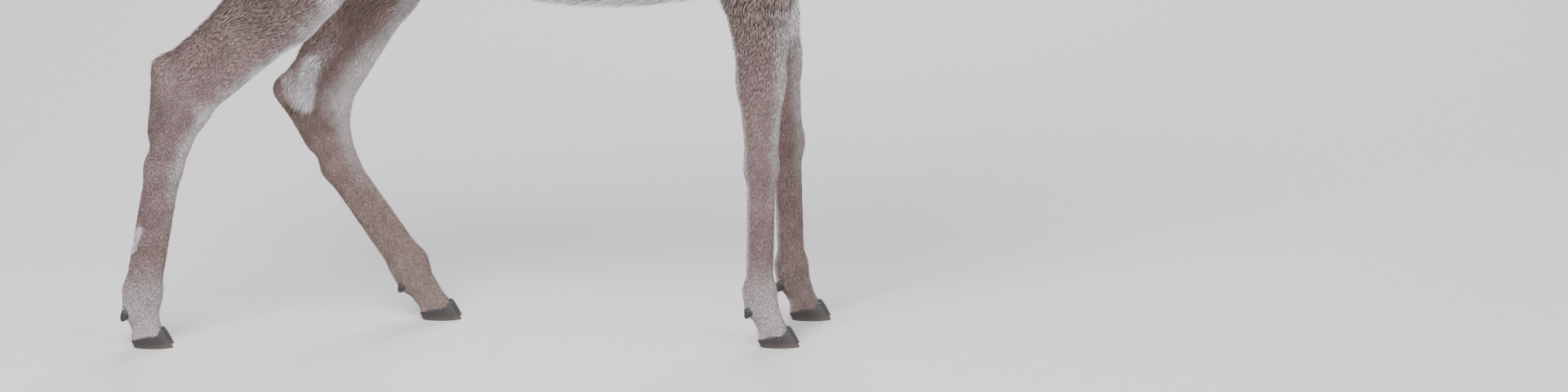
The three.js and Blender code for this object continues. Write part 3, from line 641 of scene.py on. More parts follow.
def grid_values(field, low, high, cell):
    """Values of a field on a grid, worked out only in the coarse blocks that its surface may cross."""
    counts = np.ceil((high - low) / cell / COARSE).astype(int) * COARSE
    axes = [low[i] + cell * np.arange(counts[i] + 1) for i in range(3)]
    sparse = [a[::COARSE] for a in axes]
    rough = field(grid_points(sparse)).reshape([len(a) for a in sparse])
    nearest = np.full(np.array(rough.shape) - 1, np.inf)
    for i, j, k in CORNERS:
        n0, n1, n2 = nearest.shape
        nearest = np.minimum(nearest, np.abs(rough[i : i + n0, j : j + n1, k : k + n2]))
    block = [np.minimum(np.arange(len(a)) // COARSE, n - 1) for a, n in zip(axes, nearest.shape)]
    block = np.ix_(*block)
    values = rough[:-1, :-1, :-1][block].ravel()
    close = (nearest < cell * COARSE * 2)[block].ravel()
    values[close] = field(grid_points(axes)[close])
    return values.reshape([len(a) for a in axes])


def surface_net(field, low, high, cell):
    """A vertex in each cell that the surface crosses, and a square across each grid edge it crosses."""
    values = grid_values(field, low, high, cell)
    inside = values < 0
    cells = np.array(values.shape) - 1
    n0, n1, n2 = cells
    held = sum(inside[i : i + n0, j : j + n1, k : k + n2].astype(int) for i, j, k in CORNERS)
    active = (held > 0) & (held < 8)
    index = np.argwhere(active)
    at = [values[tuple((index + corner).T)] for corner in CORNERS]
    total, count = np.zeros((len(index), 3)), np.zeros(len(index))
    for a, b in CORNER_PAIRS:
        cross = (at[a] < 0) != (at[b] < 0)
        t = at[a][cross] / (at[a][cross] - at[b][cross])
        total[cross] += CORNERS[a] + t[:, None] * (CORNERS[b] - CORNERS[a])
        count[cross] += 1
    points = low + cell * (index + total / count[:, None])
    ids = np.full(cells, -1)
    ids[active] = np.arange(len(index))
    quads = []
    for axis in range(3):
        u, w = np.eye(3, dtype=int)[(axis + 1) % 3], np.eye(3, dtype=int)[(axis + 2) % 3]
        low_side = np.take(inside, range(cells[axis]), axis)
        edge = np.argwhere(low_side != np.take(inside, range(1, cells[axis] + 1), axis))
        ring = np.stack([ids[tuple((edge + d).T)] for d in (-u - w, -w, 0 * u, -u)], 1)
        flip = ~low_side[tuple(edge.T)]
        ring[flip] = ring[flip][:, ::-1]
        quads.append(ring)
    return points, split_quads(points, np.concatenate(quads))


def split_quads(points, q):
    short = np.linalg.norm(points[q[:, 0]] - points[q[:, 2]], axis=1) < np.linalg.norm(
        points[q[:, 1]] - points[q[:, 3]], axis=1
    )
    a, b = q[short], q[~short]
    return np.concatenate([a[:, [0, 1, 2]], a[:, [0, 2, 3]], b[:, [0, 1, 3]], b[:, [1, 2, 3]]])


def refine(points, faces, size_at):
    """Splits each edge that is long for its place, once, and the triangles at it with it."""
    ends = np.sort(np.stack((faces, np.roll(faces, -1, 1)), 2).reshape(-1, 2), 1)
    keys, index = np.unique(ends[:, 0] * len(points) + ends[:, 1], return_inverse=True)
    a, b = points[keys // len(points)], points[keys % len(points)]
    middle = (a + b) / 2
    split = np.linalg.norm(a - b, axis=1) > size_at(middle) * 1.4
    new = np.where(split, len(points) + np.cumsum(split) - 1, -1)[index.reshape(-1, 3)]
    made = [faces[(new < 0).all(1)]]
    for turn in range(3):
        f, m = np.roll(faces, -turn, 1), np.roll(new, -turn, 1)
        one = (m[:, 0] >= 0) & (m[:, 1] < 0) & (m[:, 2] < 0)
        two = (m[:, 0] >= 0) & (m[:, 1] >= 0) & (m[:, 2] < 0)
        for pick, corners in (
            (one, ((f, 0), (m, 0), (f, 2))),
            (one, ((m, 0), (f, 1), (f, 2))),
            (two, ((m, 0), (f, 1), (m, 1))),
            (two, ((f, 0), (m, 0), (m, 1))),
            (two, ((f, 0), (m, 1), (f, 2))),
        ):
            made.append(np.stack([rows[pick, c] for rows, c in corners], 1))
    f, m = faces[(new >= 0).all(1)], new[(new >= 0).all(1)]
    for corners in (((f, 0), (m, 0), (m, 2)), ((m, 0), (f, 1), (m, 1)), ((m, 2), (m, 1), (f, 2)),
                    ((m, 0), (m, 1), (m, 2))):
        made.append(np.stack([rows[:, c] for rows, c in corners], 1))
    return np.concatenate([points, middle[split]]), np.concatenate(made)


def chain(leg):
    """Joint centres down a leg."""
    names = ("hip", "stifle", "hock", "cannon", "fetlock", "foot", "toe")
    if "elbow" in leg:
        names = ("elbow", "knee", "fetlock", "foot", "toe")
    return [on_side(leg, leg[name]) for name in names]


def fine_places():
    """[start, end, radius, edge length of the triangles there]"""
    rows = [
        (on_head(30, 0, 0), on_head(290, 0, -5), 62, 4.4),
        (on_head(190, 0, -5), on_head(288, 0, -8), 34, 2.6),
    ]
    for s in SIDES:
        centre, _, _, out = eye_axes(s)
        rows.append((centre + out * 8, centre + out * 14, 18, 1.0))
        for line, fine in zip(face_lines(s), (1.15, 1.1, 1.2)):
            rows += [(a, b, 5, fine) for a, b in zip(line, line[1:])]
    for leg in LEGS.values():
        joints = chain(leg)
        start = len(joints) - 5
        rows += [(a, b, 48, 5.6) for a, b in zip(joints[start:], joints[start + 1 :])]
        rows.append((joints[-2], joints[-1], 30, 3.4))
    return rows


FINE_PLACES = fine_places()


def edge_size(p):
    size = np.full(len(p), 11.0)
    for a, b, radius, fine in FINE_PLACES:
        size = np.minimum(size, fine + 0.22 * np.maximum(capsule(p, a, b) - radius, 0))
    return size


def body_surface():
    """Points and triangles of the body, out to the coat's tips."""
    low, high = vec(-50, -165, -12), vec(1600, 165, 1270)
    points, faces = surface_net(coat_field, low, high, NET_CELL)
    points = onto(coat_field, points, 2)
    for _ in range(4):
        points, faces = refine(points, faces, edge_size)
        points = onto(skin_field, points, 1, 3.0)
    return onto(skin_field, points, 1, 2.0), faces


# ---------------------------------------------------------------------------------------------------------
# The coat: its depth, length, lie, and its markings with painted light and shade, at any place

# [place, depth of the coat, length of a tuft, its width] along each part, in millimetres
COAT_ROWS = {
    "trunk": ((0, 11, 30, 3.2), (1000, 11, 30, 3.2)),
    "neck": ((-40, 12, 34, 3.4), (200, 11, 31, 3.2), (440, 8, 22, 2.4)),
    "head": (
        (-20, 8, 20, 2.3), (30, 5, 13, 1.7), (70, 3.4, 9.5, 1.35), (114, 2.2, 7.2, 1.1),
        (170, 1.6, 6, 0.95), (230, 1.2, 4.8, 0.8), (275, 0.9, 3.4, 0.7), (292, 0.4, 2.4, 0.6),
    ),
    "hind": (
        (20, 1.6, 7, 1.15), (60, 2.2, 9, 1.3), (300, 2.4, 10.5, 1.35), (420, 2.6, 11.5, 1.4),
        (500, 4, 15, 1.65), (600, 6.5, 20, 2.1), (720, 9, 26, 2.7), (850, 11, 30, 3.2),
    ),
    "fore": (
        (20, 1.6, 7, 1.15), (60, 2.2, 9, 1.25), (300, 2.4, 10, 1.35), (420, 2.8, 12, 1.45),
        (540, 5.5, 18, 2.0), (640, 9, 26, 2.8), (720, 11, 30, 3.2),
    ),
}
SPREAD = 14.0  # over how many millimetres two parts' coats pass into one another


def part_weights(p):
    """The share of each part at points, blended where two parts meet."""
    weights = np.exp(-np.clip(part_distances(p), -8, 200) / SPREAD)
    return weights / weights.sum(1, keepdims=True)


def coat_sizes(p, weights):
    """Depth, tuft length and tuft width at points."""
    x, _, z = p.T
    place = {"trunk": x, "neck": neck_place(p)[0], "head": head_place(p)[0], "hind": z, "fore": z}
    total = np.zeros((3, len(p)))
    for i, name in enumerate(PARTS):
        kind = name.split("_")[0]
        total += weights[:, i] * np.array(table(COAT_ROWS[kind], place[kind]))
    depth, length, width = total
    for s in SIDES:
        centre = eye_axes(s)[0]
        near_eye = rise(30, 15, np.linalg.norm(p - centre, axis=1))
        depth = depth * (1 - near_eye) + 0.6 * near_eye
        length = length * (1 - 0.55 * near_eye)
        width = width * (1 - 0.35 * near_eye)
    return depth, length, width


def leg_direction(leg, z):
    """The way down a leg at a height, towards the rear where a thigh is."""
    joints = np.array(chain(leg))
    way = unit(np.gradient(joints, axis=0))
    if "hip" in leg:
        way[0] = (-0.5, 0, -0.85)
        way[1] = unit(vec(-0.72, 0, -0.7))
    return np.stack([np.interp(z, joints[::-1, 2], way[::-1, c]) for c in range(3)], 1)


def lie_at(p, normals, weights):
    """The way the hair lies, along the skin."""
    x, z = p[:, 0], p[:, 2]
    rump, shoulder, low = rise(345, 215, x), rise(930, 1060, x), rise(860, 640, z)
    back, down = -1 + 0.65 * rump + 0.5 * shoulder, -0.12 - 0.3 * low - 0.85 * rump - 0.7 * shoulder
    ways = {
        "trunk": np.stack((back, 0 * x, down), 1),
        "neck": np.tile(-pitched(NECK_PITCH) + vec(0.1, 0, -0.3), (len(p), 1)),
        "head": np.tile(-pitched(HEAD_PITCH) + vec(0, 0, -0.22), (len(p), 1)),
    }
    lie = np.zeros((len(p), 3))
    for i, name in enumerate(PARTS):
        way = ways[name] if name in ways else leg_direction(LEGS[name], z)
        lie += weights[:, i, None] * way
    lie = unit(lie)
    for s in SIDES:
        q = p - eye_axes(s)[0]
        radial = q - normals * dots(q, normals)[:, None]
        lie += (1.5 * rise(30, 15, np.linalg.norm(q, axis=1)))[:, None] * unit(radial)
    across = np.cross(normals, unit(lie))
    lie = unit(lie) + across * (0.2 * wander(p, 150) + 0.1 * wander(p, 45, 1))[:, None]
    lie -= normals * dots(lie, normals)[:, None]
    return unit(lie)


def hock_place(p, leg):
    """Distances along the heel bone and ahead of it, from the hock."""
    up = unit(vec(leg["heel"][0] - leg["hock"][0], 0, leg["heel"][2] - leg["hock"][2]))
    q = p - on_side(leg, leg["hock"])
    ahead = vec(up[2], 0, -up[0])
    return q @ up, q @ ahead, q[:, 1] * leg["side"]


def tarsal_masks(p, leg):
    """White stripe, tan ground and dark foot of the tuft inside a hock; the dark foot is dark staining with
    a painted shadow under the tuft.
    """
    up, ahead, out = hock_place(p, leg)
    flat = np.stack((up, ahead, 0 * up), 1)
    inner = rise(2, -10, out)

    def streak(a, b, wide, soft):
        return rise(wide + soft, wide - soft, capsule(flat, (*a, 0), (*b, 0))) * inner

    rows = ((35, 0), (50, 66), 15, 5), ((47, -5), (80, 30), 12, 5), ((20, -8), (60, -27), 8.5, 4)
    return [streak(*row) for row in rows]


def metatarsal_mask(p, leg):
    """The small white brush at the outer rear edge of a cannon, and the painted shade in the fold under it.
    """
    z = 0.55 * leg["cannon"][2] + 0.45 * leg["fetlock"][2] - 14
    joints = np.array(chain(leg))
    x = np.interp(z, joints[::-1, 2], joints[::-1, 0])
    top = vec(x - 24, leg["side"] * 94, z + 8)
    foot = vec(x - 34, leg["side"] * 92, z - 20)
    fold_shade = capsule(p, add(foot, (9, 0, -2)), add(foot, (34, 0, -6)))
    return rise(12, 6, capsule(p, top, foot)), rise(16, 6, fold_shade)


def gland_tufts(p, weights):
    """Where the longer hair of the hock glands and of the cannons' brushes stands."""
    tufts = np.zeros(len(p))
    for name in ("hind_right", "hind_left"):
        stripe, tan, foot = tarsal_masks(p, LEGS[name])
        brush, _ = metatarsal_mask(p, LEGS[name])
        longest = np.max((stripe, 0.7 * tan, 0.8 * foot, 0.8 * brush), axis=0)
        tufts = np.maximum(tufts, weights[:, PARTS.index(name)] * longest)
    return tufts


def markings(p, normals, weights):
    """White, dark and warm at points of the body, each from 0 to 1: markings, with painted light and shade
    on the legs and the flank.
    """
    x, y, z = p.T
    wide = np.abs(y)
    trunk, neck, head = weights[:, 0], weights[:, 1], weights[:, 2]
    hind, fore = weights[:, 3:5].sum(1), weights[:, 5:7].sum(1)
    edge = wander(p, 38) * 0.5 + wander(p, 14, 1) * 0.3
    white, dark, warm = np.zeros(len(p)), np.zeros(len(p)), np.zeros(len(p))

    def pale(mask):
        np.maximum(white, np.clip(mask, 0, 1), out=white)

    def deep(mask):
        np.maximum(dark, np.clip(mask, 0, 1), out=dark)

    down = -normals[:, 2]
    inner = -normals[:, 1] * np.sign(y)
    belly = rise(0.45, 0.8, down + 0.12 * edge) * rise(1075, 1015, x) * rise(400, 470, z)
    pale((trunk + hind + fore) * belly)
    pale(hind * rise(0.0, 0.45, inner + 0.1 * edge) * rise(560, 640, z) * rise(790, 740, z))
    pale(fore * rise(0.1, 0.5, inner + 0.1 * edge) * rise(440, 520, z) * 0.9)
    # Painted light: the faces of the legs that look forwards are paler.
    pale(0.42 * fore * rise(0.1, 0.75, normals[:, 0]) * rise(150, 420, z))
    lit_front = rise(0.0, 0.65, normals[:, 0] + 0.1 * edge) * rise(150, 420, z) * rise(700, 600, z)
    pale(0.58 * hind * lit_front)
    hock = rise(-0.45, 0.6, normals[:, 0]) * rise(-0.2, 0.4, inner) * rise(330, 400, z) * rise(520, 450, z)
    pale(0.6 * hind * hock)
    pale(0.45 * fore * rise(-0.6, -0.95, normals[:, 0]))
    # Paler lower legs, with painted light: their outer faces are paler than the inner ones.
    pale((hind + fore) * (0.36 - 0.3 * rise(-0.3, 0.4, inner)) * rise(165, 70, z))
    # Painted shade on the inner faces of the lower legs.
    deep(0.26 * (hind + fore) * rise(0.0, 0.6, inner) * rise(420, 330, z))
    rump = rise(66, 50, wide + 6 * edge) * rise(262, 236, x + 6 * edge)
    pale(rump * rise(590, 640, z) * rise(826, 796, z) * rise(0.45, 0.15, normals[:, 2]))
    deep(0.42 * trunk * rise(34, 12, wide + 5 * edge) * rise(0.5, 0.85, normals[:, 2]))
    # Painted shade on the lower flank, where it turns under towards the belly.
    deep(0.35 * trunk * rise(0.1, 0.5, down) * rise(0.62, 0.4, down))
    # Painted light: warm light bounced onto the inner faces of the legs.
    warm[:] = 0.22 * (hind + fore) * rise(-0.1, 0.5, inner)
    along, above = head_place(p)
    nape, rear = neck_place(p)
    deep(0.35 * neck * rise(0.5, 0.9, -normals[:, 0] + normals[:, 2]) * rise(30, 10, wide))
    front = (neck + head) * rise(24, 40, -rear) * rise(352, 392, nape) * rise(44, 34, wide + 4 * edge)
    front *= rise(70, 20, along)
    pale(front)
    pale(head * rise(-40, -52, above + 2 * edge) * rise(-10, 10, along) * rise(120, 80, along))
    pale(head * rise(-28, -36, above + 1.5 * edge) * rise(196, 222, along))
    pale(head * rise(-18.5, -20.5, above) * rise(256, 266, along))
    pale(0.85 * head * rise(247, 255, along + 2 * edge) * rise(8, -6, above - 14))
    pale(0.45 * head * rise(251, 256, along + 2 * edge) * rise(268, 263, along))
    deep(0.8 * head * rise(9, 5, np.hypot(along - 240, above + 31)) * rise(10, 16, wide))
    crown = rise(30, 16, wide) * rise(34, 46, above) * rise(20, 50, along) * rise(118, 96, along)
    bridge = rise(16, 9, wide) * rise(14, 22, above) * rise(112, 132, along) * rise(252, 240, along)
    deep(0.55 * head * crown)
    deep(0.5 * head * bridge)
    for s in SIDES:
        centre, ahead, up, out = eye_axes(s)
        q = p - centre
        ring = np.hypot(q @ ahead / 1.2, q @ up)
        near = head * rise(-6, 4, q @ out)
        pale(0.55 * near * rise(22.5, 13.5, ring + 3 * edge))
        corner = capsule(p, centre + ahead * 16 + out * 8, centre + ahead * 27 - up * 8 + out * 6)
        deep(0.6 * near * rise(9, 4, corner))
        deep(near * rise(3.2, 1.4, almond(s, p)[0]))
        base = ear_point(s, -0.02, 0, 0)
        pale(0.7 * head * rise(17, 9, np.linalg.norm(p - add(base, (10, 0, -14)), axis=1)))
    for name in ("hind_right", "hind_left"):
        leg = LEGS[name]
        share = weights[:, PARTS.index(name)]
        stripe, tan, foot = tarsal_masks(p, leg)
        brush, fold_shade = metatarsal_mask(p, leg)
        white *= 1 - 0.9 * np.clip(share * foot, 0, 1)
        pale(share * stripe)
        pale(share * 0.5 * tan)
        pale(share * brush)
        warm[:] = np.maximum(warm, share * np.clip(tan * (1 - stripe) + foot, 0, 1))
        # The tuft's dark foot: dark staining with a painted shadow under the tuft.
        deep(share * 0.85 * foot * (1 - stripe))
        # Painted shade in the fold under the brush.
        deep(share * 0.55 * fold_shade)
        up, ahead, out = hock_place(p, leg)
        deep(share * 0.4 * rise(9, 3, np.hypot(up + 62, ahead + 2)) * rise(4, 14, out))
        # Painted shade on the rear edge behind the heel bone.
        deep(share * 0.3 * rise(-20, -27, ahead) * rise(-30, 0, up) * rise(90, 60, up))
        # Painted shade in the hollow of the outer thigh behind the stifle.
        thigh = on_side(leg, leg["stifle"])
        dimple_shade = np.hypot(x - thigh[0] + 108, z - thigh[2] + 50)
        deep(share * 0.3 * rise(16, 5, dimple_shade) * rise(0, 12, wide - 80))
        heel = on_side(leg, leg["heel"])
        # Painted shade in the groove between the Achilles tendon and the shin, on the outer side.
        tendon_groove_shade = capsule(p, heel + (14, 0, 30), heel + (100, 0, 104))
        deep(share * 0.4 * rise(22, 12, tendon_groove_shade) * rise(0, 0.5, normals[:, 1] * leg["side"]))
    return white, dark, warm


def bare_mask(p):
    """The naked black skin of the nose, the lips' edges and the lids' edges."""
    along, above = head_place(p)
    wide = np.abs(p[:, 1])
    outline = (wide / 25.5) ** 3 + (np.abs(above - 4) / np.where(above > 4, 30, 18.5)) ** 3
    pad = rise(271, 273.5, along + 0.22 * wide) * rise(1.04, 0.9, outline)
    pad = np.maximum(pad, rise(287, 289, along) * rise(-21, -18, above))
    for s in SIDES:
        away, t = along_line(p, face_lines(s)[0])
        pad = np.maximum(pad, rise(2.4, 1.0, away) * rise(1.0, 0.7, t))
        q = p - eye_axes(s)[0]
        pad = np.maximum(pad, rise(2.0, 0.9, almond(s, p)[0]) * rise(0, 2, q @ eye_axes(s)[3]))
    return pad


# ---------------------------------------------------------------------------------------------------------
# The unwrap of the skin that its own map and the tufts' patches share: each part is opened from a roll

# [left, bottom, width, height]
CHARTS = {
    "trunk": (0.01, 0.01, 0.59, 0.49), "neck": (0.62, 0.01, 0.36, 0.23), "head": (0.62, 0.26, 0.36, 0.24),
    "hind_right": (0.01, 0.52, 0.48, 0.11), "hind_left": (0.01, 0.65, 0.48, 0.11),
    "fore_right": (0.51, 0.52, 0.47, 0.11), "fore_left": (0.51, 0.65, 0.47, 0.11),
    "tail": (0.01, 0.78, 0.29, 0.2), "ear_left": (0.32, 0.78, 0.32, 0.2),
    "ear_right": (0.66, 0.78, 0.32, 0.2),
}


def rolled(p, name):
    """How far points are along a part, from 0 to 1, and round it, in turns."""
    x, across, z = p.T
    if name == "trunk":
        along, above = (x - 150) / 1030, z - 740
    elif name == "neck":
        s, above = neck_place(p)
        along = (s + 130) / 620
    elif name == "head":
        s, above = head_place(p)
        along = (s + 60) / 370
    elif name == "tail":
        along, above = (900 - z) / 300, 150 - x
    else:
        joints = np.array(chain(LEGS[name]))[::-1]
        middle = [np.interp(z, joints[:, 2], joints[:, c]) for c in (0, 1)]
        along, above, across = (920 - z) / 930, x - middle[0], (across - middle[1]) * LEGS[name]["side"]
    return np.clip(along, 0, 1), np.arctan2(across, above) / (2 * math.pi)


def on_chart(name, along, turn):
    left, bottom, width, height = CHARTS[name]
    return np.stack((left + width * along, bottom + height * (np.clip(turn, -0.5, 0.5) + 0.5)), 1)


def skin_map(points, faces, names):
    """A place on the unwrap for each corner of each triangle, kept together where a roll is cut open."""
    uv = np.zeros((len(faces), 3, 2))
    for name in np.unique(names):
        pick = names == name
        corners = points[faces[pick]].reshape(-1, 3)
        along, turn = rolled(corners, str(name))
        turn = turn.reshape(-1, 3)
        turn = np.where(turn.max(1, keepdims=True) - turn > 0.5, turn + 1, turn)
        turn = np.where(turn.mean(1, keepdims=True) > 0.5, turn - 1, turn)
        uv[pick] = on_chart(str(name), along, turn.reshape(-1)).reshape(-1, 3, 2)
    return uv


# ---------------------------------------------------------------------------------------------------------
# Surfaces of flesh, with what the coat needs to know at each of their points


class Surface:
    """Points and triangles, and at each point its normal, the lie of the hair, the coat's depth, a tuft's
    length and width, the markings with their painted light and shade, and how bare it is. `names` gives
    each triangle's chart."""

    def __init__(self, points, faces, names, normals, lie, sizes, marks, bare, uv):
        self.points, self.faces, self.names, self.uv = points, faces, names, uv
        self.normals, self.lie, self.marks, self.bare = normals, lie, marks, bare
        self.depth, self.length, self.width = sizes


def ring_quads(rows, columns, closed=False):
    """The squares between rings of points, which are numbered ring by ring; closed joins last to first."""
    r, c = np.meshgrid(np.arange(rows if closed else rows - 1), np.arange(columns), indexing="ij")
    a, b = r * columns + c, r * columns + (c + 1) % columns
    total = rows * columns
    return np.stack((a, b, (b + columns) % total, (a + columns) % total), -1).reshape(-1, 4)


def halved(quads):
    return np.concatenate([quads[:, [0, 1, 2]], quads[:, [0, 2, 3]]])


def mesh_normals(points, faces):
    a, b, c = (points[faces[:, i]] for i in range(3))
    face_normals = np.cross(b - a, c - a)
    total = np.zeros_like(points)
    for i in range(3):
        np.add.at(total, faces[:, i], face_normals)
    return unit(total)


def body_skin():
    """Trunk, neck, head and legs as one skin, drawn in from the coat's tips by its depth."""
    tips, faces = body_surface()
    weights = part_weights(tips)
    normals = unit(gradient(skin_field, tips)[1])
    depth, length, width = coat_sizes(tips, weights)
    tufts = gland_tufts(tips, weights)
    depth, length, width = depth + 2.4 * tufts, length + 9 * tufts, width + 0.3 * tufts
    bare = bare_mask(tips)
    depth = depth * (1 - bare) + 0.15 * bare
    points = tips - normals * (depth + pressed(tips))[:, None]
    marks = np.stack(markings(tips, normals, weights), 1)
    lie = lie_at(tips, normals, weights)
    names = np.array(PARTS)[part_weights(points[faces].mean(1)).argmax(1)]
    return Surface(points, faces, names, normals, lie, (depth, length, width), marks, bare,
                   skin_map(points, faces, names))


def tail_field(p):
    """Distance to the tips of the tail's hair."""
    return blended(TAIL_HAIR, p)


def tail_skin():
    """The tail's own flesh, inside its long brush."""
    flesh = partial(blended, tail_forms(TAIL_FLESH))
    points, faces = surface_net(flesh, vec(90, -50, 640), vec(260, 50, 910), 4.5)
    points = onto(flesh, points, 2)
    normals = unit(gradient(flesh, points)[1])
    depth = np.clip(-tail_field(points), 1, 30)
    low = rise(860, 690, points[:, 2])
    length, width = 30 + 24 * low, 2.8 + 0.4 * low
    lie = np.stack((-0.05 + 0 * low, points[:, 1] / 42, -1 + 0 * low), 1)
    lie = unit(lie - normals * dots(lie, normals)[:, None])
    wide, high = np.abs(points[:, 1]), points[:, 2]
    beneath = rise(-0.1, 0.35, normals[:, 0]) * rise(850, 825, high)
    edges = rise(12, 17, wide) * rise(845, 800, high)
    white = np.max((beneath, edges, 0.8 * rise(735, 715, high)), axis=0)
    dark = 0.5 * rise(9, 3, wide) * (1 - white)
    marks = np.stack((white, dark, 0.35 * (1 - white)), 1)
    names = np.full(len(faces), "tail")
    return Surface(points, faces, names, normals, lie, (depth, length, width), marks, 0 * low,
                   skin_map(points, faces, names))


EAR_ROWS, EAR_COLUMNS = 44, 14


def ear_skin(side):
    """The cup of an ear: an outer and an inner wall that meet at the rim, as one closed shell."""
    levels = np.linspace(-0.08, 0.992, EAR_ROWS)
    turns = np.linspace(-1, 1, 2 * EAR_COLUMNS + 1)
    around = np.concatenate([turns, turns[::-1]])
    inner = np.repeat([0, 1], len(turns))
    _, radius, turn, wall = station_at(EAR_STATIONS, levels)
    rings = []
    for t, r, half, w in zip(levels, radius, turn, wall):
        thin = max(w - 2.2, 1.0) * (1 - 0.75 * np.abs(around) ** 6)
        rho = r + np.where(inner, -1, 1) * thin / 2
        rings.append(ear_point(side, np.full(len(around), t), rho, half * around * 0.985))
    points = np.concatenate(rings)
    columns = len(around)
    last = (EAR_ROWS - 1) * columns
    i = np.arange(len(turns) - 1)
    j = columns - 1 - i
    foot, tip = np.stack((i, j, j - 1, i + 1), 1), last + np.stack((i, i + 1, j - 1, j), 1)
    faces = halved(np.concatenate([ring_quads(EAR_ROWS, columns), foot, tip]))
    faces = faces if side > 0 else faces[:, ::-1]
    normals = mesh_normals(points, faces)
    spine = slice(len(turns) // 2, None, columns)  # down the middle of the back of the ear
    back = points[spine]
    if dots(normals[spine], back.mean(0) - points.mean(0)).sum() < 0:
        faces, normals = faces[:, ::-1], -normals
    level, across = np.repeat(levels, columns), np.tile(around, EAR_ROWS)
    inside = np.tile(inner, EAR_ROWS).astype(float)
    sideways = unit(points - np.repeat(back, columns, 0))
    lie = ear_axes(side)[1] + sideways * (inside * 0.22)[:, None]
    lie = unit(lie - normals * dots(lie, normals)[:, None])
    rim = rise(0.72, 0.97, np.abs(across))
    edge = np.maximum(rim * rise(0.1, 0.3, level), rise(0.9, 0.99, level))
    white = inside * 0.85 * (1 - 0.7 * edge) + (1 - inside) * 0.25 * rise(0.3, 0.05, level)
    dark = np.clip(0.8 * edge * (1 - inside) + 0.55 * edge * inside + 0.12 * (1 - inside), 0, 1)
    marks = np.stack((white, dark, 0.2 + 0.3 * inside), 1)
    depth = np.full(len(points), 1.1)
    length = 9 + 6 * inside * rise(0.2, 0.7, np.abs(across)) * rise(1, 0.7, level) + 3 * rise(0.2, 0, level)
    name = "ear_left" if side > 0 else "ear_right"
    names = np.full(len(faces), name)
    uv = on_chart(name, (level + 0.08) / 1.08, 0.25 * across * 0.96 + np.where(inside > 0, 0.25, -0.25))
    return Surface(points, faces, names, normals, lie, (depth, length, depth), marks, 0 * level, uv[faces])


SURFACES = {}


def surfaces():
    """The four pieces of flesh, worked out once."""
    if not SURFACES:
        SURFACES.update(body=body_skin(), tail=tail_skin(), ear_left=ear_skin(1), ear_right=ear_skin(-1))
    return SURFACES


# ---------------------------------------------------------------------------------------------------------
# Tufts: a thin closed spindle, broadest near its root, with a ridge along its back

RING, RING_LIFT = 0.3, 0.62  # where a tuft is broadest, along it and as a share of its lift
TUFT_FACES = np.array([(0, 3, 1), (0, 2, 3), (0, 1, 2), (4, 1, 3), (4, 3, 2), (4, 2, 1)])
TUFT_ALONG = np.array([0.0, RING, RING, RING, 1.0])
PATCH = np.array([(0, -1.4), (-1.3, 0), (1.3, 0), (0, 0.2), (0, 1.4)]) * 0.001
PIECE_TUFTS = 32000


def rooted(surface, cover, rng):
    """Roots spread evenly over a surface, so many that the tufts cover it `cover` times over."""
    corners = surface.points[surface.faces]
    a, b, c = corners.swapaxes(0, 1)
    area = np.linalg.norm(np.cross(b - a, c - a), axis=1) / 2

    def face_mean(values):
        return values[surface.faces].mean(1)

    wanted = area * cover * 2 / (face_mean(surface.length) * face_mean(surface.width))
    wanted *= 1 - rise(0.2, 0.5, face_mean(surface.bare))
    middle = corners.mean(1)
    for leg in LEGS.values():
        close = np.abs(middle[:, 0] - leg["toe"][0] + HOOF["length"] / 2) < 60
        close &= np.sign(middle[:, 1]) == leg["side"]
        wanted[close & (middle[:, 2] < coronet_height(leg, middle[:, 0]) - 1)] = 0
    total = np.cumsum(wanted)
    spots = np.arange(int(total[-1])) + rng.uniform(0, 1, int(total[-1]))
    face = np.minimum(np.searchsorted(total, spots), len(total) - 1)
    a, b = rng.uniform(0, 1, (2, len(face)))
    over = a + b > 1
    a[over], b[over] = 1 - a[over], 1 - b[over]
    shares = np.stack((1 - a - b, a, b), 1)

    def blend(values):
        at = values[surface.faces[face]]
        return (at * (shares if at.ndim == 2 else shares[..., None])).sum(1)

    return face, shares, blend


def coronet_height(leg, x):
    """Height of the top of the hooves, sloping down from the front to the heel."""
    return HOOF["height"] * 0.74 + (x - leg["toe"][0] + HOOF["length"] / 2) * 0.34


def over_eyes(p):
    """Whether points lie over the opening between the lids."""
    inside = np.zeros(len(p), bool)
    for s in SIDES:
        centre, _, _, out = eye_axes(s)
        q = p - centre
        close = (np.linalg.norm(q, axis=1) < 32) & (q @ out > 0)
        inside[close] |= almond(s, p[close])[0] < 0.9
    return inside


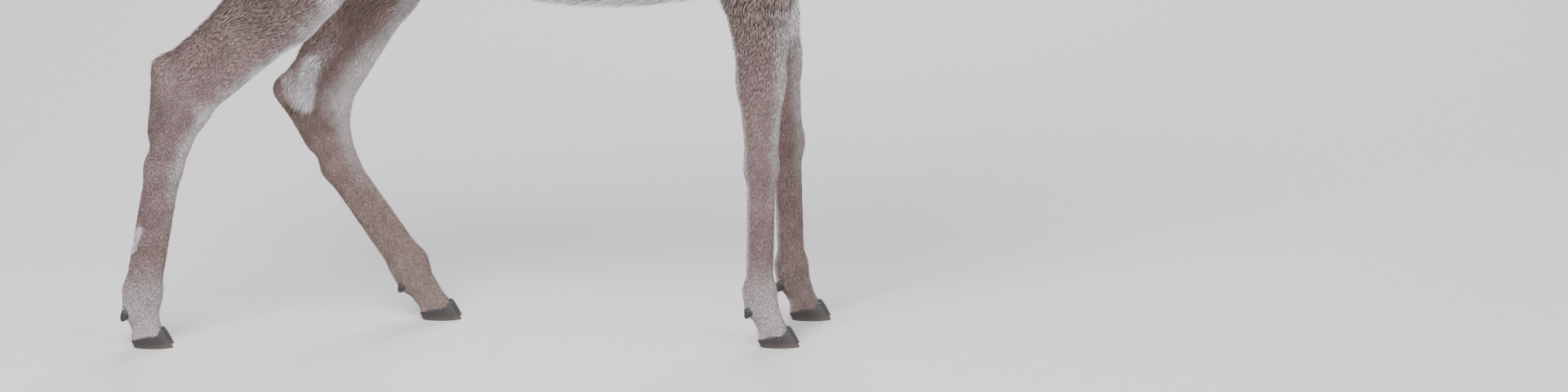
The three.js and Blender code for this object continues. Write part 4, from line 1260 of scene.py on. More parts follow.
def tuft_points(surface, field, cover, rng):
    """Corners of every tuft on a surface, its markings with their painted light and shade, and its place on
    the unwrap.
    """
    face, shares, blend = rooted(surface, cover, rng)
    count = len(face)
    roots, normals, lie = blend(surface.points), unit(blend(surface.normals)), blend(surface.lie)
    depth, length, width = blend(surface.depth), blend(surface.length), blend(surface.width)
    marks = np.clip(blend(surface.marks) + rng.normal(0, 0.05, (count, 3)), 0, 1)
    length = length * rng.uniform(0.7, 1.15, count)
    width = width * rng.uniform(0.75, 1.15, count)
    lift = rng.uniform(0.25, 1.0, count) ** 1.3
    turn = rng.normal(0, 0.13, count)
    side = np.cross(normals, lie)
    way = unit(lie + side * turn[:, None])
    way = unit(way - normals * dots(way, normals)[:, None])
    side = np.cross(normals, way)
    sweep = rng.normal(0, 0.1, count)
    ring = roots + way * (RING * length)[:, None] + normals * (RING_LIFT * lift * depth)[:, None]
    tip = roots + unit(way + side * sweep[:, None]) * length[:, None] + normals * (lift * depth)[:, None]
    if field:
        for spot, level in ((ring, RING_LIFT * lift), (tip, lift)):
            miss = field(spot) + (1 - level) * depth
            spot -= normals * np.clip(miss, -9, 9)[:, None]
    corners = np.stack(
        (
            roots - normals * (0.25 + 0.04 * depth)[:, None],
            ring + side * (width / 2)[:, None] - normals * (0.07 * width)[:, None],
            ring - side * (width / 2)[:, None] - normals * (0.07 * width)[:, None],
            ring + normals * (0.14 * width)[:, None],
            tip,
        ),
        1,
    )
    uv = (surface.uv[face] * shares[..., None]).sum(1)
    shade = np.clip(0.5 + rng.normal(0, 0.2, count) + 0.16 * wander(roots, 26, 2), 0, 1)
    kept = ~(over_eyes(tip) | over_eyes(ring))
    marks = np.concatenate([marks, shade[:, None]], 1)
    return corners[kept], marks[kept], uv[kept], surface.names[face][kept]


# ---------------------------------------------------------------------------------------------------------
# From the body's millimetres to the frame's metres, and into meshes


def frame_offset():
    low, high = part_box("eye_left")
    return np.array((low + high) / 2) - on_head(EYE["along"], EYE["out"], EYE["above"]) * MILLIMETRE


OFFSET = frame_offset()


def in_frame(p):
    return np.asarray(p, float) * MILLIMETRE + OFFSET


def link(made):
    bpy.context.scene.collection.objects.link(made)
    return made


def make_mesh(name, points, faces):
    """A mesh object at the origin, from points in the body's millimetres."""
    mesh = bpy.data.meshes.new(name)
    faces = np.asarray(faces)
    corners = faces.shape[1]
    mesh.vertices.add(len(points))
    mesh.vertices.foreach_set("co", in_frame(points).astype(np.float32).ravel())
    mesh.loops.add(faces.size)
    mesh.loops.foreach_set("vertex_index", faces.astype(np.int32).ravel())
    mesh.polygons.add(len(faces))
    mesh.polygons.foreach_set("loop_start", np.arange(0, faces.size, corners, dtype=np.int32))
    mesh.update(calc_edges=True)
    mesh.validate()
    mesh.shade_smooth()
    return link(bpy.data.objects.new(name, mesh))


def give(made, name, values):
    """Stores a number, a direction or a colour at each point."""
    values = np.asarray(values, np.float32)
    kind, field = {1: ("FLOAT", "value"), 3: ("FLOAT_VECTOR", "vector"), 4: ("FLOAT_COLOR", "color")}[
        values.size // len(values)
    ]
    made.data.attributes.new(name, kind, "POINT").data.foreach_set(field, values.ravel())


def give_map(made, uv):
    layer = made.data.uv_layers.new(name="OFBake")
    layer.data.foreach_set("uv", np.asarray(uv, np.float32).ravel())


def ride(made, material):
    made.data.materials.clear()
    made.data.materials.append(material)
    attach(made, "root")
    return made


# ---------------------------------------------------------------------------------------------------------
# Materials


class Value:
    """A socket of a tree that can be added, multiplied and so on with numbers and other sockets."""

    def __init__(self, tree, socket):
        self.tree, self.socket = tree, socket

    def _math(self, operation, a, b):
        return self.tree.node("ShaderNodeMath", {"operation": operation}, {0: a, 1: b}).out(0)

    def __add__(self, other):
        return self._math("ADD", self, other)

    def __sub__(self, other):
        return self._math("SUBTRACT", self, other)

    def __rsub__(self, other):
        return self._math("SUBTRACT", other, self)

    def __mul__(self, other):
        return self._math("MULTIPLY", self, other)

    def __pow__(self, other):
        return self._math("POWER", self, other)

    def __rtruediv__(self, other):
        return self._math("DIVIDE", other, self)

    __radd__, __rmul__ = __add__, __mul__

    def held(self):
        """The value kept within 0 to 1."""
        return self.tree.node("ShaderNodeClamp", {}, {"Value": self}).out(0)


class Node:
    def __init__(self, tree, node):
        self.tree, self.node = tree, node

    def out(self, key):
        return Value(self.tree, self.node.outputs[key])


class Tree:
    """A node tree, built from Python expressions."""

    def __init__(self, tree):
        self.tree = tree
        self.tree.nodes.clear()

    def node(self, kind, settings=None, inputs=None):
        made = self.tree.nodes.new(kind)
        for key, value in (settings or {}).items():
            setattr(made, key, value)
        for key, value in (inputs or {}).items():
            if isinstance(value, Value):
                self.tree.links.new(value.socket, made.inputs[key])
            else:
                made.inputs[key].default_value = value
        return Node(self, made)

    def named(self, name, kind="FLOAT_VECTOR"):
        """A direction or a number stored at each point."""
        return self.node("GeometryNodeInputNamedAttribute", {"data_type": kind}, {"Name": name}).out(0)

    def vectors(self, operation, inputs):
        return self.node("ShaderNodeVectorMath", {"operation": operation}, inputs).out(0)

    def height(self, place):
        return self.node("ShaderNodeSeparateXYZ", {}, {"Vector": place}).out("Z")


class Shader(Tree):
    """A material's tree."""

    def __init__(self, name):
        self.material = bpy.data.materials.new(name)
        self.material.use_nodes = True
        super().__init__(self.material.node_tree)

    def attribute(self, name):
        return self.node("ShaderNodeAttribute", {"attribute_name": name})

    def place(self):
        return self.node("ShaderNodeTexCoord").out("Object")

    def noise(self, vector, scale, detail=2.0):
        inputs = {"Vector": vector, "Scale": scale, "Detail": detail}
        return self.node("ShaderNodeTexNoise", {}, inputs).out("Fac")

    def blend(self, a, b, factor, kind="MIX"):
        a, b = (v if isinstance(v, Value) else (*v[:3], 1.0) for v in (a, b))
        settings = {"data_type": "RGBA", "blend_type": kind}
        return self.node("ShaderNodeMix", settings, {0: factor, 6: a, 7: b}).out(2)

    def grey(self, value):
        return self.node("ShaderNodeCombineColor", {}, {"Red": value, "Green": value, "Blue": value}).out(0)

    def bump(self, height, strength, distance):
        inputs = {"Height": height, "Strength": strength, "Distance": distance}
        return self.node("ShaderNodeBump", {}, inputs).out(0)

    def finish(self, **inputs):
        """Ends the tree in a shader, its sockets named in small letters with underscores."""
        sockets = {key.replace("_", " ").title().replace("Ior", "IOR"): v for key, v in inputs.items()}
        shader = self.node("ShaderNodeBsdfPrincipled", {}, sockets)
        self.node("ShaderNodeOutputMaterial", {}, {"Surface": shader.out(0)})
        return self.material


LEG_TOP = 0.455  # metres up, where the colour of the legs begins to pass into that of the body
STREAKS = ((85, 800, 1), (210, 1900, 1))  # coarse and fine streaks, across the unwrap's two ways


def coat_material(name, colours, hair):
    """The markings in colour, with their painted light and shade, the same for the skin and for the tufts
    that stand on it.
    """
    s = Shader(name)
    place = s.place()
    marks = s.attribute("marks")
    split = s.node("ShaderNodeSeparateColor", {}, {"Color": marks.out("Color")})
    white, dark, warm = (split.out(key) for key in ("Red", "Green", "Blue"))
    patch, grain = s.noise(place, 14, 3), s.noise(place, 420, 2)
    body = ((s.height(place) - LEG_TOP) * 9).held()
    paler = (patch * 1.6 - 0.35).held() * (0.8 - body * 0.35)
    base = s.blend(s.blend(colours.coat, colours.body, body), colours.pale, paler)
    if hair:
        along = s.attribute("along").out("Fac")
        # Painted shade deep in the coat: each tuft is darker towards its root.
        base = s.blend(base, colours.dark, (1 - along) ** 1.5 * 0.3)
        shade = marks.out("Alpha")
    else:
        unwrap = s.node("ShaderNodeUVMap", {"uv_map": "OFBake"}).out(0)
        coarse, fine = (s.noise(s.vectors("MULTIPLY", {0: unwrap, 1: often}), 1.0, 3) for often in STREAKS)
        small = s.attribute("fine").out("Fac")
        streaks = coarse * (1 - small) + fine * small
        # Painted shade: the skin seen between the tufts is darkened a little.
        base = s.blend(base, colours.dark, 0.12)
        shade = (streaks * 2.2 - 0.6).held()
    base = s.blend(base, colours.warm, warm)
    base = s.blend(base, colours.dark, (dark * (0.8 + grain * 0.4)).held())
    base = s.blend(base, colours.white, (white * 1.08).held())
    base = s.blend(base, s.grey(0.75 + shade * 0.5), 1.0, "MULTIPLY")
    if hair:
        return s.finish(base_color=base, roughness=0.62, specular_ior_level=0.18, sheen_weight=0.06,
                        sheen_roughness=0.5)
    bare = s.attribute("bare").out("Fac")
    base = s.blend(base, colours.bare, bare)
    pebbles = s.node("ShaderNodeTexVoronoi", {}, {"Vector": place, "Scale": 620.0}).out("Distance")
    height = pebbles * bare + streaks * (1 - bare) * 1.6
    return s.finish(base_color=base, roughness=0.75 - bare * 0.4, normal=s.bump(height, 0.5, 0.0008))


def eye_material(name, colours):
    s = Shader(name)
    zones = s.node("ShaderNodeSeparateColor", {}, {"Color": s.attribute("zones").out("Color")})
    streaks = s.noise(s.place(), 1400, 3)
    base = s.blend(colours.iris, colours.pupil, (0.35 * streaks + zones.out("Green")).held())
    base = s.blend(base, colours.pupil, zones.out("Red"))
    return s.finish(base_color=base, roughness=0.05, coat_weight=0.3, coat_roughness=0.02, ior=1.38)


def lid_material(name, colour):
    s = Shader(name)
    creases = s.noise(s.place(), 900, 3)
    base = s.blend(tuple(c * 0.4 for c in colour[:3]), colour, creases)
    return s.finish(base_color=base, roughness=0.5 + creases * 0.3, specular_ior_level=0.2,
                    normal=s.bump(creases, 0.6, 0.0004))


def horn_material(name, colours):
    s = Shader(name)
    place = s.place()
    level = s.height(place)
    wobble = s.noise(place, 60, 3)
    rings = s.node("ShaderNodeMath", {"operation": "SINE"}, {0: level * 2600 + wobble * 9}).out(0)
    scuffs = s.noise(place, 340, 4)
    base = s.blend(colours.horn, colours.horn_pale, (scuffs * 1.5 - 0.5 + rings * 0.12).held())
    base = s.blend(base, colours.dust, (0.5 - level * 90 + wobble * 0.6).held() * 0.35)
    height = rings * 0.2 + scuffs * 0.6
    return s.finish(base_color=base, roughness=0.38 + scuffs * 0.25, normal=s.bump(height, 0.35, 0.0006))


def bristle_material(name, colour):
    s = Shader(name)
    tips = s.noise(s.place(), 260, 2)
    return s.finish(base_color=s.blend(colour, tuple(c * 3 for c in colour[:3]), tips), roughness=0.4)


def floor_material(colour):
    s = Shader("floor")
    speck = s.noise(s.place(), 30, 3)
    return s.finish(base_color=s.blend(colour, tuple(c * 0.93 for c in colour[:3]), speck), roughness=0.85)


# ---------------------------------------------------------------------------------------------------------
# Eyes, hooves and dewclaws


def loft(rings, first, last):
    """A closed surface through rings of points, shut by a point at each end, with its faces outwards."""
    rows, columns = rings.shape[:2]
    faces = [halved(ring_quads(rows, columns))]
    i = np.arange(columns)
    j = (i + 1) % columns
    end, top = rows * columns, (rows - 1) * columns
    faces += [np.stack((0 * i + end, j, i), 1), np.stack((0 * i + end + 1, top + i, top + j), 1)]
    points, faces = np.concatenate([rings.reshape(-1, 3), [first, last]]), np.concatenate(faces)
    a, b, c = (points[faces[:, k]] - points.mean(0) for k in range(3))
    return points, faces if dots(np.cross(a, b), c).sum() > 0 else faces[:, ::-1]


def eyeball(side, bulge):
    """The ball with its clear front standing a little proud, and the pupil and iris rim at its points."""
    centre, ahead, up, out = eye_axes(side)
    polar = np.concatenate([np.linspace(0.03, 1.0, 30), np.linspace(1.07, math.pi - 0.06, 16)])
    turn = np.linspace(0, 2 * math.pi, 48, endpoint=False)
    polar, turn = np.meshgrid(polar, turn, indexing="ij")
    ways = (
        np.cos(polar)[..., None] * out
        + (np.sin(polar) * np.cos(turn))[..., None] * ahead
        + (np.sin(polar) * np.sin(turn))[..., None] * up
    )
    radius = EYE["radius"] - 0.7 + bulge * rise(0.8, 0.25, polar)
    front, back = centre + out * radius[0, 0], centre - out * radius[-1, 0]
    points, faces = loft(centre + ways * radius[..., None], front, back)
    d = unit(points - centre)
    u, v = d @ ahead, d @ up
    pupil = rise(1.12, 0.94, np.hypot(u / 0.4, v / 0.24)) * (d @ out > 0)
    rim = rise(0.44, 0.6, np.hypot(u / 1.18, v))
    return points, faces, np.stack((pupil, rim, 0 * u, 0 * u + 1), 1)


def lid_edge(side, turn, grow=0.35):
    """Points on the edge of the lids, from an angle round the eye that starts at its front corner."""
    centre, ahead, up, out = eye_axes(side)
    long, high = LID[0] + grow, LID[1] + grow
    u = long * np.cos(turn)
    v = high * np.sin(turn) * np.abs(np.sin(turn)) ** 0.25 + 0.06 * u
    p = centre + u[:, None] * ahead + v[:, None] * up + out * 15

    for _ in range(5):
        d = closed_field(p)
        slope = (closed_field(p + out * 0.3) - d) / 0.3
        p = p - out * np.clip(d / np.maximum(slope, 0.2), -3, 3)[:, None]
    return p


def lid_rim(side):
    """The smooth dark edge of both lids, heavier above, as a ring round the opening."""
    centre, ahead, up, out = eye_axes(side)
    turn = np.linspace(0, 2 * math.pi, 72, endpoint=False)
    path = lid_edge(side, turn)
    tangent = unit(np.roll(path, -1, 0) - np.roll(path, 1, 0))
    away = unit(np.cross(tangent, out))
    away = away * np.sign(dots(away, path - centre))[:, None]
    thick = 0.8 + 0.4 * rise(0, 0.9, np.sin(turn)) - 0.1 * np.abs(np.cos(turn)) ** 6
    middle = path - out * (0.85 * thick)[:, None]
    angle = np.linspace(0, 2 * math.pi, 12, endpoint=False)
    wide, high = ((turned(angle) * thick[:, None])[..., None] for turned in (np.cos, np.sin))
    rings = middle[:, None] + away[:, None] * (wide * 1.1) + out * high
    rows, columns = rings.shape[:2]
    faces = ring_quads(rows, columns, closed=True)
    points = rings.reshape(-1, 3)
    normal = np.cross(points[faces[:, 1]] - points[faces[:, 0]], points[faces[:, 2]] - points[faces[:, 0]])
    outwards = points[faces[:, 0]] - np.repeat(middle, columns, 0)
    return points, faces if dots(normal, outwards).sum() > 0 else faces[:, ::-1]


def hoof_shell(leg, s):
    """One half of a hoof: a wall that leans back from a pointed toe to a low heel, on a flat sole."""
    middle = vec(leg["toe"][0] - HOOF["length"] / 2, leg["side"] * leg["foot"][1] + s * HOOF["spread"], 0)
    levels = np.array([0, 0, 0.012, 0.05, 0.12, 0.24, 0.38, 0.52, 0.66, 0.8, 0.92, 1.0, 1.0])
    inset = np.array([0.8, 0.05, 0, 0, 0, 0, 0, 0, 0, 0, 0.01, 0.05, 0.4])
    angle = np.linspace(0, 2 * math.pi, 52, endpoint=False)
    t, a = np.meshgrid(levels, angle, indexing="ij")
    shrink = 1 - inset[:, None]
    across = np.where(np.sin(a) * s > 0, 1, 0.62)
    point = 1 - 0.34 * np.maximum(np.cos(a), 0) ** 2
    x = middle[0] + shrink * np.cos(a) * HOOF["length"] / 2 * (1 - 0.17 * t) - 11 * t
    y = middle[1] + shrink * np.sin(a) * across * HOOF["width"] / 2 * point * (1 - 0.04 * t) * 1.12
    top = np.maximum(coronet_height(leg, x) - 0.3, 6)
    rings = np.stack((x, y, top * t), -1)
    return loft(rings, rings[0].mean(0), rings[-1].mean(0))


def dewclaw_shell(leg, s):
    """A small blunt cone of horn behind the pastern, broad at its root and worn at its tip."""
    polar, turn = np.linspace(0.1, math.pi - 0.1, 18), np.linspace(0, 2 * math.pi, 24, endpoint=False)
    polar, turn = np.meshgrid(polar, turn, indexing="ij")
    narrow = 1 - 0.16 * rise(0.2, -1, np.cos(polar))
    r = DEWCLAW["width"] / 2
    deep = np.sin(polar) * np.cos(turn) * narrow * r
    across = np.sin(polar) * np.sin(turn) * narrow * r * 0.82
    long = np.cos(polar) * DEWCLAW["length"] / 2
    cos, _, sin = pitched(28)
    place = add(on_side(leg, leg["dewclaw"]), (0, s * DEWCLAW["spread"], 0))
    rings = np.stack((deep * cos + long * sin, across, long * cos - deep * sin), -1) + place
    return loft(rings, rings[0].mean(0), rings[-1].mean(0))


# ---------------------------------------------------------------------------------------------------------
# Lashes and whiskers


def lash_roots():
    """Where each lash stands, the way it points and the way it curls, with its share of the full length."""
    rows = []
    turn = np.linspace(0.22, 0.86, 30) * math.pi
    for s in SIDES:
        _, ahead, up, out = eye_axes(s)
        for t, place in zip(turn, lid_edge(s, turn, 1.3)):
            way = out * 0.9 + ahead * (math.cos(t) * 0.6 + 0.1) + up * 0.1
            rows.append((place - out * 0.6, way, up, 0.55 + 0.45 * math.sin(t)))
    return rows


def whisker_roots():
    rows = []
    ahead, up = pitched(HEAD_PITCH), pitched(HEAD_PITCH + 90)
    places = [(244 + 8 * i, 24 - 0.7 * i, -13 - 4.5 * (i % 3), 1.0) for i in range(5)]
    places += [(228 + 11 * i, 20 - 1.5 * i, -31 - 2 * (i % 2), 0.7) for i in range(5)]
    places += [(124, 34, 47, 0.8), (110, 36, 49, 0.7)]
    for s in SIDES:
        start = np.array([on_head(a, s * o, h) for a, o, h, _ in places])
        start = onto(skin_field, start, 5, 20)
        normals = unit(gradient(skin_field, start)[1])
        for place, normal, (along, _, _, share) in zip(start, normals, places):
            way = normal + ahead * (0.35 if along > 200 else 0.1) + vec(0, 0, -0.35 if along > 200 else 0.3)
            rows.append((place, unit(way), -up, share))
    return rows


def bristle_group(material):
    """Stands a tapered, curled bristle on every point, by the point's own directions and length."""
    group = bpy.data.node_groups.new("Bristles", "GeometryNodeTree")
    sockets = group.interface
    sockets.new_socket("Roots", in_out="INPUT", socket_type="NodeSocketGeometry")
    for label, default in (("Length", 0.01), ("Thickness", 0.0003), ("Curl", 0.25)):
        made = sockets.new_socket(label, in_out="INPUT", socket_type="NodeSocketFloat")
        made.default_value = default
    sockets.new_socket("Seed", in_out="INPUT", socket_type="NodeSocketInt")
    sockets.new_socket("Bristles", in_out="OUTPUT", socket_type="NodeSocketGeometry")
    tree = Tree(group)
    given = tree.node("NodeGroupInput")
    cone = tree.node("GeometryNodeMeshCone", {"fill_type": "NGON"}, {
        "Vertices": 5, "Side Segments": 6, "Radius Top": 0.06, "Radius Bottom": 0.5, "Depth": 1.0})
    height = tree.height(tree.node("GeometryNodeInputPosition").out(0))
    bend = tree.node("ShaderNodeCombineXYZ", {}, {"Z": 0.0, "X": height * height}).out(0)
    thick, length = given.out("Thickness"), given.out("Length")
    curl = tree.vectors("SCALE", {0: bend, "Scale": given.out("Curl") * length * (1 / thick)})
    cone = tree.node("GeometryNodeSetPosition", {}, {"Geometry": cone.out("Mesh"), "Offset": curl})
    align = "FunctionNodeAlignRotationToVector"
    upright = tree.node(align, {"axis": "Z"}, {"Vector": tree.named("way")}).out(0)
    turned = tree.node(align, {"axis": "X", "pivot_axis": "Z"}, {
        "Rotation": upright, "Vector": tree.named("curl")}).out(0)
    share = tree.named("share", "FLOAT")
    chance = tree.node("FunctionNodeRandomValue", {"data_type": "FLOAT"}, {
        2: 0.75, 3: 1.1, "Seed": given.out("Seed")}).out(1)
    tall = length * share * chance
    scale = tree.node("ShaderNodeCombineXYZ", {}, {"X": thick, "Y": thick, "Z": tall}).out(0)
    stood = tree.node("GeometryNodeInstanceOnPoints", {}, {
        "Points": given.out("Roots"), "Instance": cone.out(0), "Rotation": turned, "Scale": scale}).out(0)
    real = tree.node("GeometryNodeRealizeInstances", {}, {"Geometry": stood}).out(0)
    painted = tree.node("GeometryNodeSetMaterial", {}, {"Geometry": real, "Material": material}).out(0)
    tree.node("NodeGroupOutput", {}, {0: painted})
    return group


def stand_bristles(name, rows, material, sizes):
    """Bristles on a list of roots, as one plain mesh."""
    places, ways, curls, shares = (np.array(v, float) for v in zip(*rows))
    roots = make_mesh(name + "_roots", places, np.zeros((0, 3), int))
    for label, values in (("way", ways), ("curl", curls), ("share", shares)):
        give(roots, label, values)
    modifier = roots.modifiers.new("Bristles", "NODES")
    group = bristle_group(material)
    modifier.node_group = group
    for item in group.interface.items_tree:
        if item.in_out == "INPUT" and item.name in sizes:
            modifier[item.identifier] = sizes[item.name]
    bpy.context.view_layer.update()
    evaluated = roots.evaluated_get(bpy.context.evaluated_depsgraph_get())
    mesh = bpy.data.meshes.new_from_object(evaluated)
    roots.modifiers.clear()
    bpy.data.objects.remove(roots)
    mesh.name = name
    mesh.shade_smooth()
    return link(bpy.data.objects.new(name, mesh))


# ---------------------------------------------------------------------------------------------------------
# Skin and coat pieces


def make_skin(material):
    """The four pieces of flesh as one object."""
    parts = list(surfaces().values())
    starts = np.cumsum([0] + [len(s.points) for s in parts])
    points = np.concatenate([s.points for s in parts])
    faces = np.concatenate([s.faces + start for s, start in zip(parts, starts)])
    skin = make_mesh("skin", points, faces)
    if len(skin.data.polygons) != len(faces):
        raise RuntimeError("the skin has faces without area")
    marks = np.concatenate([s.marks for s in parts])
    give(skin, "marks", np.concatenate([marks, np.full((len(marks), 1), 0.5)], 1))
    give(skin, "bare", np.concatenate([s.bare for s in parts]))
    give(skin, "fine", rise(17, 8, np.concatenate([s.length for s in parts])))
    give_map(skin, np.concatenate([s.uv for s in parts]))
    return ride(skin, material)


def grow_coat(surface, field, cover, seed, material):
    """Tufts over one surface, as one or more pieces for each part of it."""
    corners, marks, uv, names = tuft_points(surface, field, cover, np.random.default_rng(seed))
    for name in np.unique(names):
        rows = np.flatnonzero(names == name)
        for piece_number, share in enumerate(np.array_split(rows, math.ceil(len(rows) / PIECE_TUFTS)), 1):
            count = len(share)
            faces = (TUFT_FACES[None] + 5 * np.arange(count)[:, None, None]).reshape(-1, 3)
            piece = make_mesh(f"coat_{name}_{piece_number}", corners[share].reshape(-1, 3), faces)
            if len(piece.data.polygons) != len(faces):
                raise RuntimeError(piece.name + " has tufts without area")
            give(piece, "marks", np.repeat(marks[share], 5, axis=0))
            give(piece, "along", np.tile(TUFT_ALONG, count))
            patches = uv[share][:, None, :] + PATCH
            give_map(piece, patches[:, TUFT_FACES].reshape(-1, 2))
            ride(piece, material)


# ---------------------------------------------------------------------------------------------------------
# Settings, operators and panel


def colour(label, description, default):
    return FloatVectorProperty(name=label, description=description, default=default, subtype="COLOR",
                               size=3, min=0, max=1)


def number(label, description, default, **more):
    return FloatProperty(name=label, description=description, default=default, **more)


class DeerCoat(bpy.types.PropertyGroup):
    cover: number("Cover", "How many tufts deep the coat is everywhere", 2.2, min=0.2, max=6)
    seed: IntProperty(name="Seed", description="Changes where each tuft grows", default=4)
    coat: colour("Legs", "Grey-brown of the legs", (0.222, 0.136, 0.138))
    body: colour("Body", "Grey-brown of the trunk, neck and head", (0.13, 0.086, 0.072))
    pale: colour("Pale tips", "Lighter patches within the coat", (0.345, 0.248, 0.236))
    # Dark also paints shade: at the tufts' roots, on the skin between them, on the lower flank, the inner
    # lower legs, behind the heels, in the tendon grooves, the thigh hollows, the folds under the cannon
    # brushes and under the hock tufts.
    dark: colour("Dark", "Dorsal line, ear rims, gland hair and roots", (0.07, 0.045, 0.04))
    # Warm also paints the warm bounced light on the inner faces of the legs.
    warm: colour("Warm", "Tan of the hock glands and ears", (0.42, 0.27, 0.19))
    # White also paints light on the forward faces of the legs and the outer faces of the lower legs.
    white: colour("White", "Belly, throat, rump edge, tail and leg brushes", (0.8, 0.775, 0.8))
    bare: colour("Bare skin", "Nose pad, lips and the edges of the lids", (0.018, 0.015, 0.016))


class DeerEyes(bpy.types.PropertyGroup):
    bulge: number("Bulge", "How far the clear front stands out, in millimetres", 0.8, min=0, max=2)
    iris: colour("Iris", "Dark brown ring round the pupil", (0.022, 0.01, 0.005))
    pupil: colour("Pupil", "The level pupil and the rim of the iris", (0.002, 0.002, 0.003))


class DeerHorn(bpy.types.PropertyGroup):
    horn: colour("Horn", "Hooves and dewclaws", (0.018, 0.015, 0.015))
    horn_pale: colour("Worn horn", "Scuffed and growing parts", (0.05, 0.041, 0.037))
    dust: colour("Dust", "Dry earth on the lowest edge", (0.15, 0.115, 0.09))


class DeerBristles(bpy.types.PropertyGroup):
    lash: number("Lash", "Length of a lash", 0.0105, unit="LENGTH")
    whisker: number("Whisker", "Length of a whisker", 0.03, unit="LENGTH")
    seed: IntProperty(name="Seed", description="Changes the length of each bristle", default=3)
    hair: colour("Bristle", "Lashes and whiskers", (0.02, 0.016, 0.015))


class DeerStage(bpy.types.PropertyGroup):
    floor: colour("Floor", "Plain pale floor", (0.62, 0.61, 0.6))
    sky: colour("Air", "Pale light from all round", (0.9, 0.93, 1.0))
    air: number("Air light", "Strength of the light from all round", 0.5, min=0)
    key: number("Key light", "Power of the large soft light", 560, unit="POWER")
    away: number("Distance", "From the camera to the legs", 14.0, unit="LENGTH")
    lift: number("Elevation", "Height of the camera above the horizon", math.radians(15), subtype="ANGLE")
    width: number("Width", "Width of the view at the legs", 2.554, unit="LENGTH")


SETTINGS = {
    "deer_coat": DeerCoat, "deer_eyes": DeerEyes, "deer_horn": DeerHorn, "deer_bristles": DeerBristles,
    "deer_stage": DeerStage,
}


def hair_material(context):
    """The coat's one material, made the first time that it is asked for."""
    name = "coat hair"
    return bpy.data.materials.get(name) or coat_material(name, context.scene.deer_coat, True)


class DEER_OT_skin(bpy.types.Operator):
    """Makes the skin under the coat, with its lids, lips, nose pad and ears"""

    bl_idname = "deer.skin"
    bl_label = "Skin"

    def execute(self, context):
        skin = make_skin(coat_material("skin", context.scene.deer_coat, False))
        flesh = [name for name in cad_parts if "hoof" not in name and "dewclaw" not in name]
        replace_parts(skin, *(name for name in flesh if not name.startswith("eye")))
        return {"FINISHED"}


class DEER_OT_body_coat(bpy.types.Operator):
    """Grows the short coat of the body, neck, head and legs"""

    bl_idname = "deer.body_coat"
    bl_label = "Body coat"

    def execute(self, context):
        coat = context.scene.deer_coat
        cover = coat.cover * 1
        grow_coat(surfaces()["body"], closed_field, cover, coat.seed, hair_material(context))
        return {"FINISHED"}


class DEER_OT_tail_coat(bpy.types.Operator):
    """Grows the long brush of the tail, white below and at its edges"""

    bl_idname = "deer.tail_coat"
    bl_label = "Tail coat"

    def execute(self, context):
        coat = context.scene.deer_coat
        grow_coat(surfaces()["tail"], tail_field, coat.cover * 1.8, coat.seed + 1, hair_material(context))
        return {"FINISHED"}


class DEER_OT_ear_coat(bpy.types.Operator):
    """Grows the short hair behind each ear and the longer white hair inside it"""

    bl_idname = "deer.ear_coat"
    bl_label = "Ear coat"

    def execute(self, context):
        coat = context.scene.deer_coat
        for name in ("ear_left", "ear_right"):
            grow_coat(surfaces()[name], None, coat.cover, coat.seed + 2, hair_material(context))
        return {"FINISHED"}


class DEER_OT_eyes(bpy.types.Operator):
    """Makes the two dark, wet eyes with their level pupils, and the edges of their lids"""

    bl_idname = "deer.eyes"
    bl_label = "Eyes"

    def execute(self, context):
        settings = context.scene.deer_eyes
        material = eye_material("eye", settings)
        lids = lid_material("lids", context.scene.deer_coat.bare)
        for side, name in ((1, "eye_left"), (-1, "eye_right")):
            points, faces, zones = eyeball(side, settings.bulge)
            eye = make_mesh(name + "_ball", points, faces)
            give(eye, "zones", zones)
            ride(eye, material)
            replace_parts(eye, name)
            ride(make_mesh(name + "_lids", *lid_rim(side)), lids)
        return {"FINISHED"}


class DEER_OT_hooves(bpy.types.Operator):
    """Makes the cloven hooves and the dewclaws of all four feet"""

    bl_idname = "deer.hooves"
    bl_label = "Hooves and dewclaws"

    def execute(self, context):
        material = horn_material("horn", context.scene.deer_horn)
        for name, leg in LEGS.items():
            for s in SIDES:
                side = "outer" if s * leg["side"] > 0 else "inner"
                for kind, make in (("hoof", hoof_shell), ("dewclaw", dewclaw_shell)):
                    node = f"{name}_{kind}_{side}"
                    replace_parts(ride(make_mesh(node + "_horn", *make(leg, s)), material), node)
        return {"FINISHED"}


class DEER_OT_bristles(bpy.types.Operator):
    """Stands lashes along the upper lids and whiskers on the muzzle, the chin and over the eyes"""

    bl_idname = "deer.bristles"
    bl_label = "Lashes and whiskers"

    def execute(self, context):
        settings = context.scene.deer_bristles
        material = bristle_material("bristle", settings.hair)
        for name, rows, length, thick, curl in (
            ("lashes", lash_roots(), settings.lash, 0.00042, 0.28),
            ("whiskers", whisker_roots(), settings.whisker, 0.00045, 0.18),
        ):
            sizes = {"Length": length, "Thickness": thick, "Curl": curl, "Seed": settings.seed}
            ride(stand_bristles(name, rows, material, sizes), material)
        return {"FINISHED"}


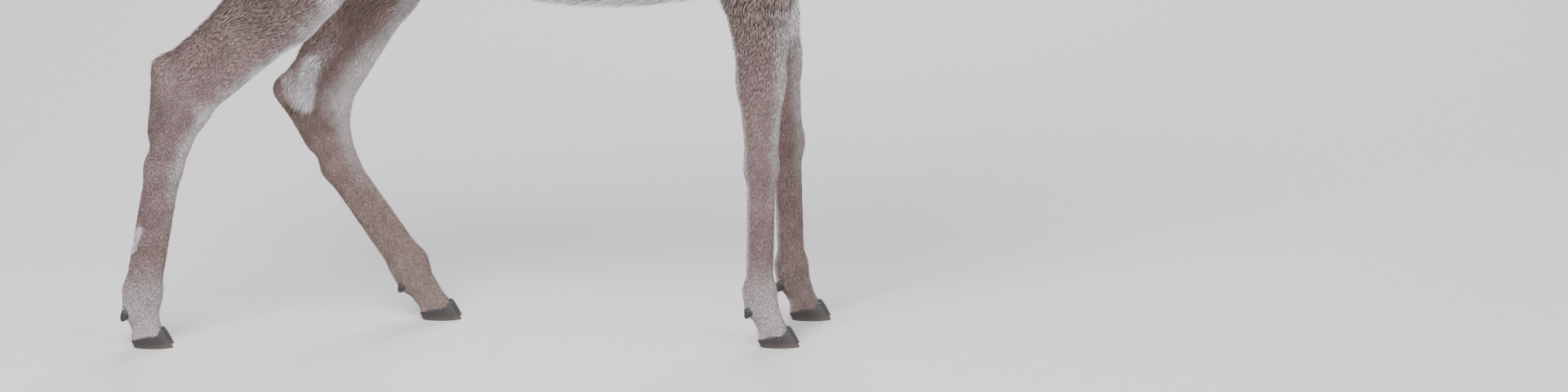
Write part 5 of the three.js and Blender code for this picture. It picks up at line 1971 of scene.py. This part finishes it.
class DEER_OT_stage(bpy.types.Operator):
    """Sets out the floor, the lights and the camera"""

    bl_idname = "deer.stage"
    bl_label = "Floor, lights and camera"

    def execute(self, context):
        stage = context.scene.deer_stage
        size = 30.0
        mesh = bpy.data.meshes.new("floor")
        corners = [(x * size, y * size, 0) for x, y in ((-1, -1), (1, -1), (1, 1), (-1, 1))]
        mesh.from_pydata(corners, [], [(0, 1, 2, 3)])
        mesh.materials.append(floor_material(stage.floor))
        link(bpy.data.objects.new("floor", mesh))
        world = bpy.data.worlds.new("air")
        world.use_nodes = True
        air = world.node_tree.nodes["Background"]
        air.inputs["Color"].default_value = (*stage.sky, 1)
        air.inputs["Strength"].default_value = stage.air
        context.scene.world = world
        aim = vec(0.0, 0.0, 0.5)
        for name, place, wide, power in (
            ("key", (-1.6, -3.6, 4.2), 3.2, stage.key),
            ("fill", (3.6, -3.0, 2.2), 3.0, stage.key * 0.3),
            ("back", (0.6, 3.8, 3.4), 3.0, stage.key * 0.4),
        ):
            light = bpy.data.objects.new(name, bpy.data.lights.new(name, "AREA"))
            light.data.size = wide
            light.data.energy = power
            light.location = place
            light.rotation_euler = Vector(aim - vec(*place)).to_track_quat("-Z", "Y").to_euler()
            link(light)
        camera = link(bpy.data.objects.new("camera", bpy.data.cameras.new("camera")))
        target = Vector(in_frame(VIEW_MIDDLE))
        back = Vector((0, -math.cos(stage.lift), math.sin(stage.lift)))
        camera.location = target + back * stage.away
        camera.rotation_euler = (-back).to_track_quat("-Z", "Y").to_euler()
        camera.data.lens = camera.data.sensor_width * stage.away / stage.width
        camera.data.clip_end = 200
        context.scene.camera = camera
        return {"FINISHED"}


OPERATORS = (
    DEER_OT_stage, DEER_OT_skin, DEER_OT_body_coat, DEER_OT_tail_coat, DEER_OT_ear_coat, DEER_OT_eyes,
    DEER_OT_hooves, DEER_OT_bristles,
)


class DEER_PT_panel(bpy.types.Panel):
    bl_label = "White-tailed deer"
    bl_idname = "DEER_PT_panel"
    bl_space_type = "VIEW_3D"
    bl_region_type = "UI"
    bl_category = "Deer"

    def draw(self, context):
        for operator in OPERATORS:
            self.layout.operator(operator.bl_idname)
        for name, group in SETTINGS.items():
            box = self.layout.box()
            for key in group.__annotations__:
                box.prop(getattr(context.scene, name), key)


CLASSES = (*SETTINGS.values(), *OPERATORS, DEER_PT_panel)


def register():
    for made in CLASSES:
        bpy.utils.register_class(made)
    for name, group in SETTINGS.items():
        setattr(bpy.types.Scene, name, PointerProperty(type=group))


def unregister():
    for name in SETTINGS:
        delattr(bpy.types.Scene, name)
    for made in reversed(CLASSES):
        bpy.utils.unregister_class(made)


def main():
    register()
    for operator in OPERATORS:
        group, name = operator.bl_idname.split(".")
        getattr(getattr(bpy.ops, group), name)()


if __name__ == "__main__":
    main()
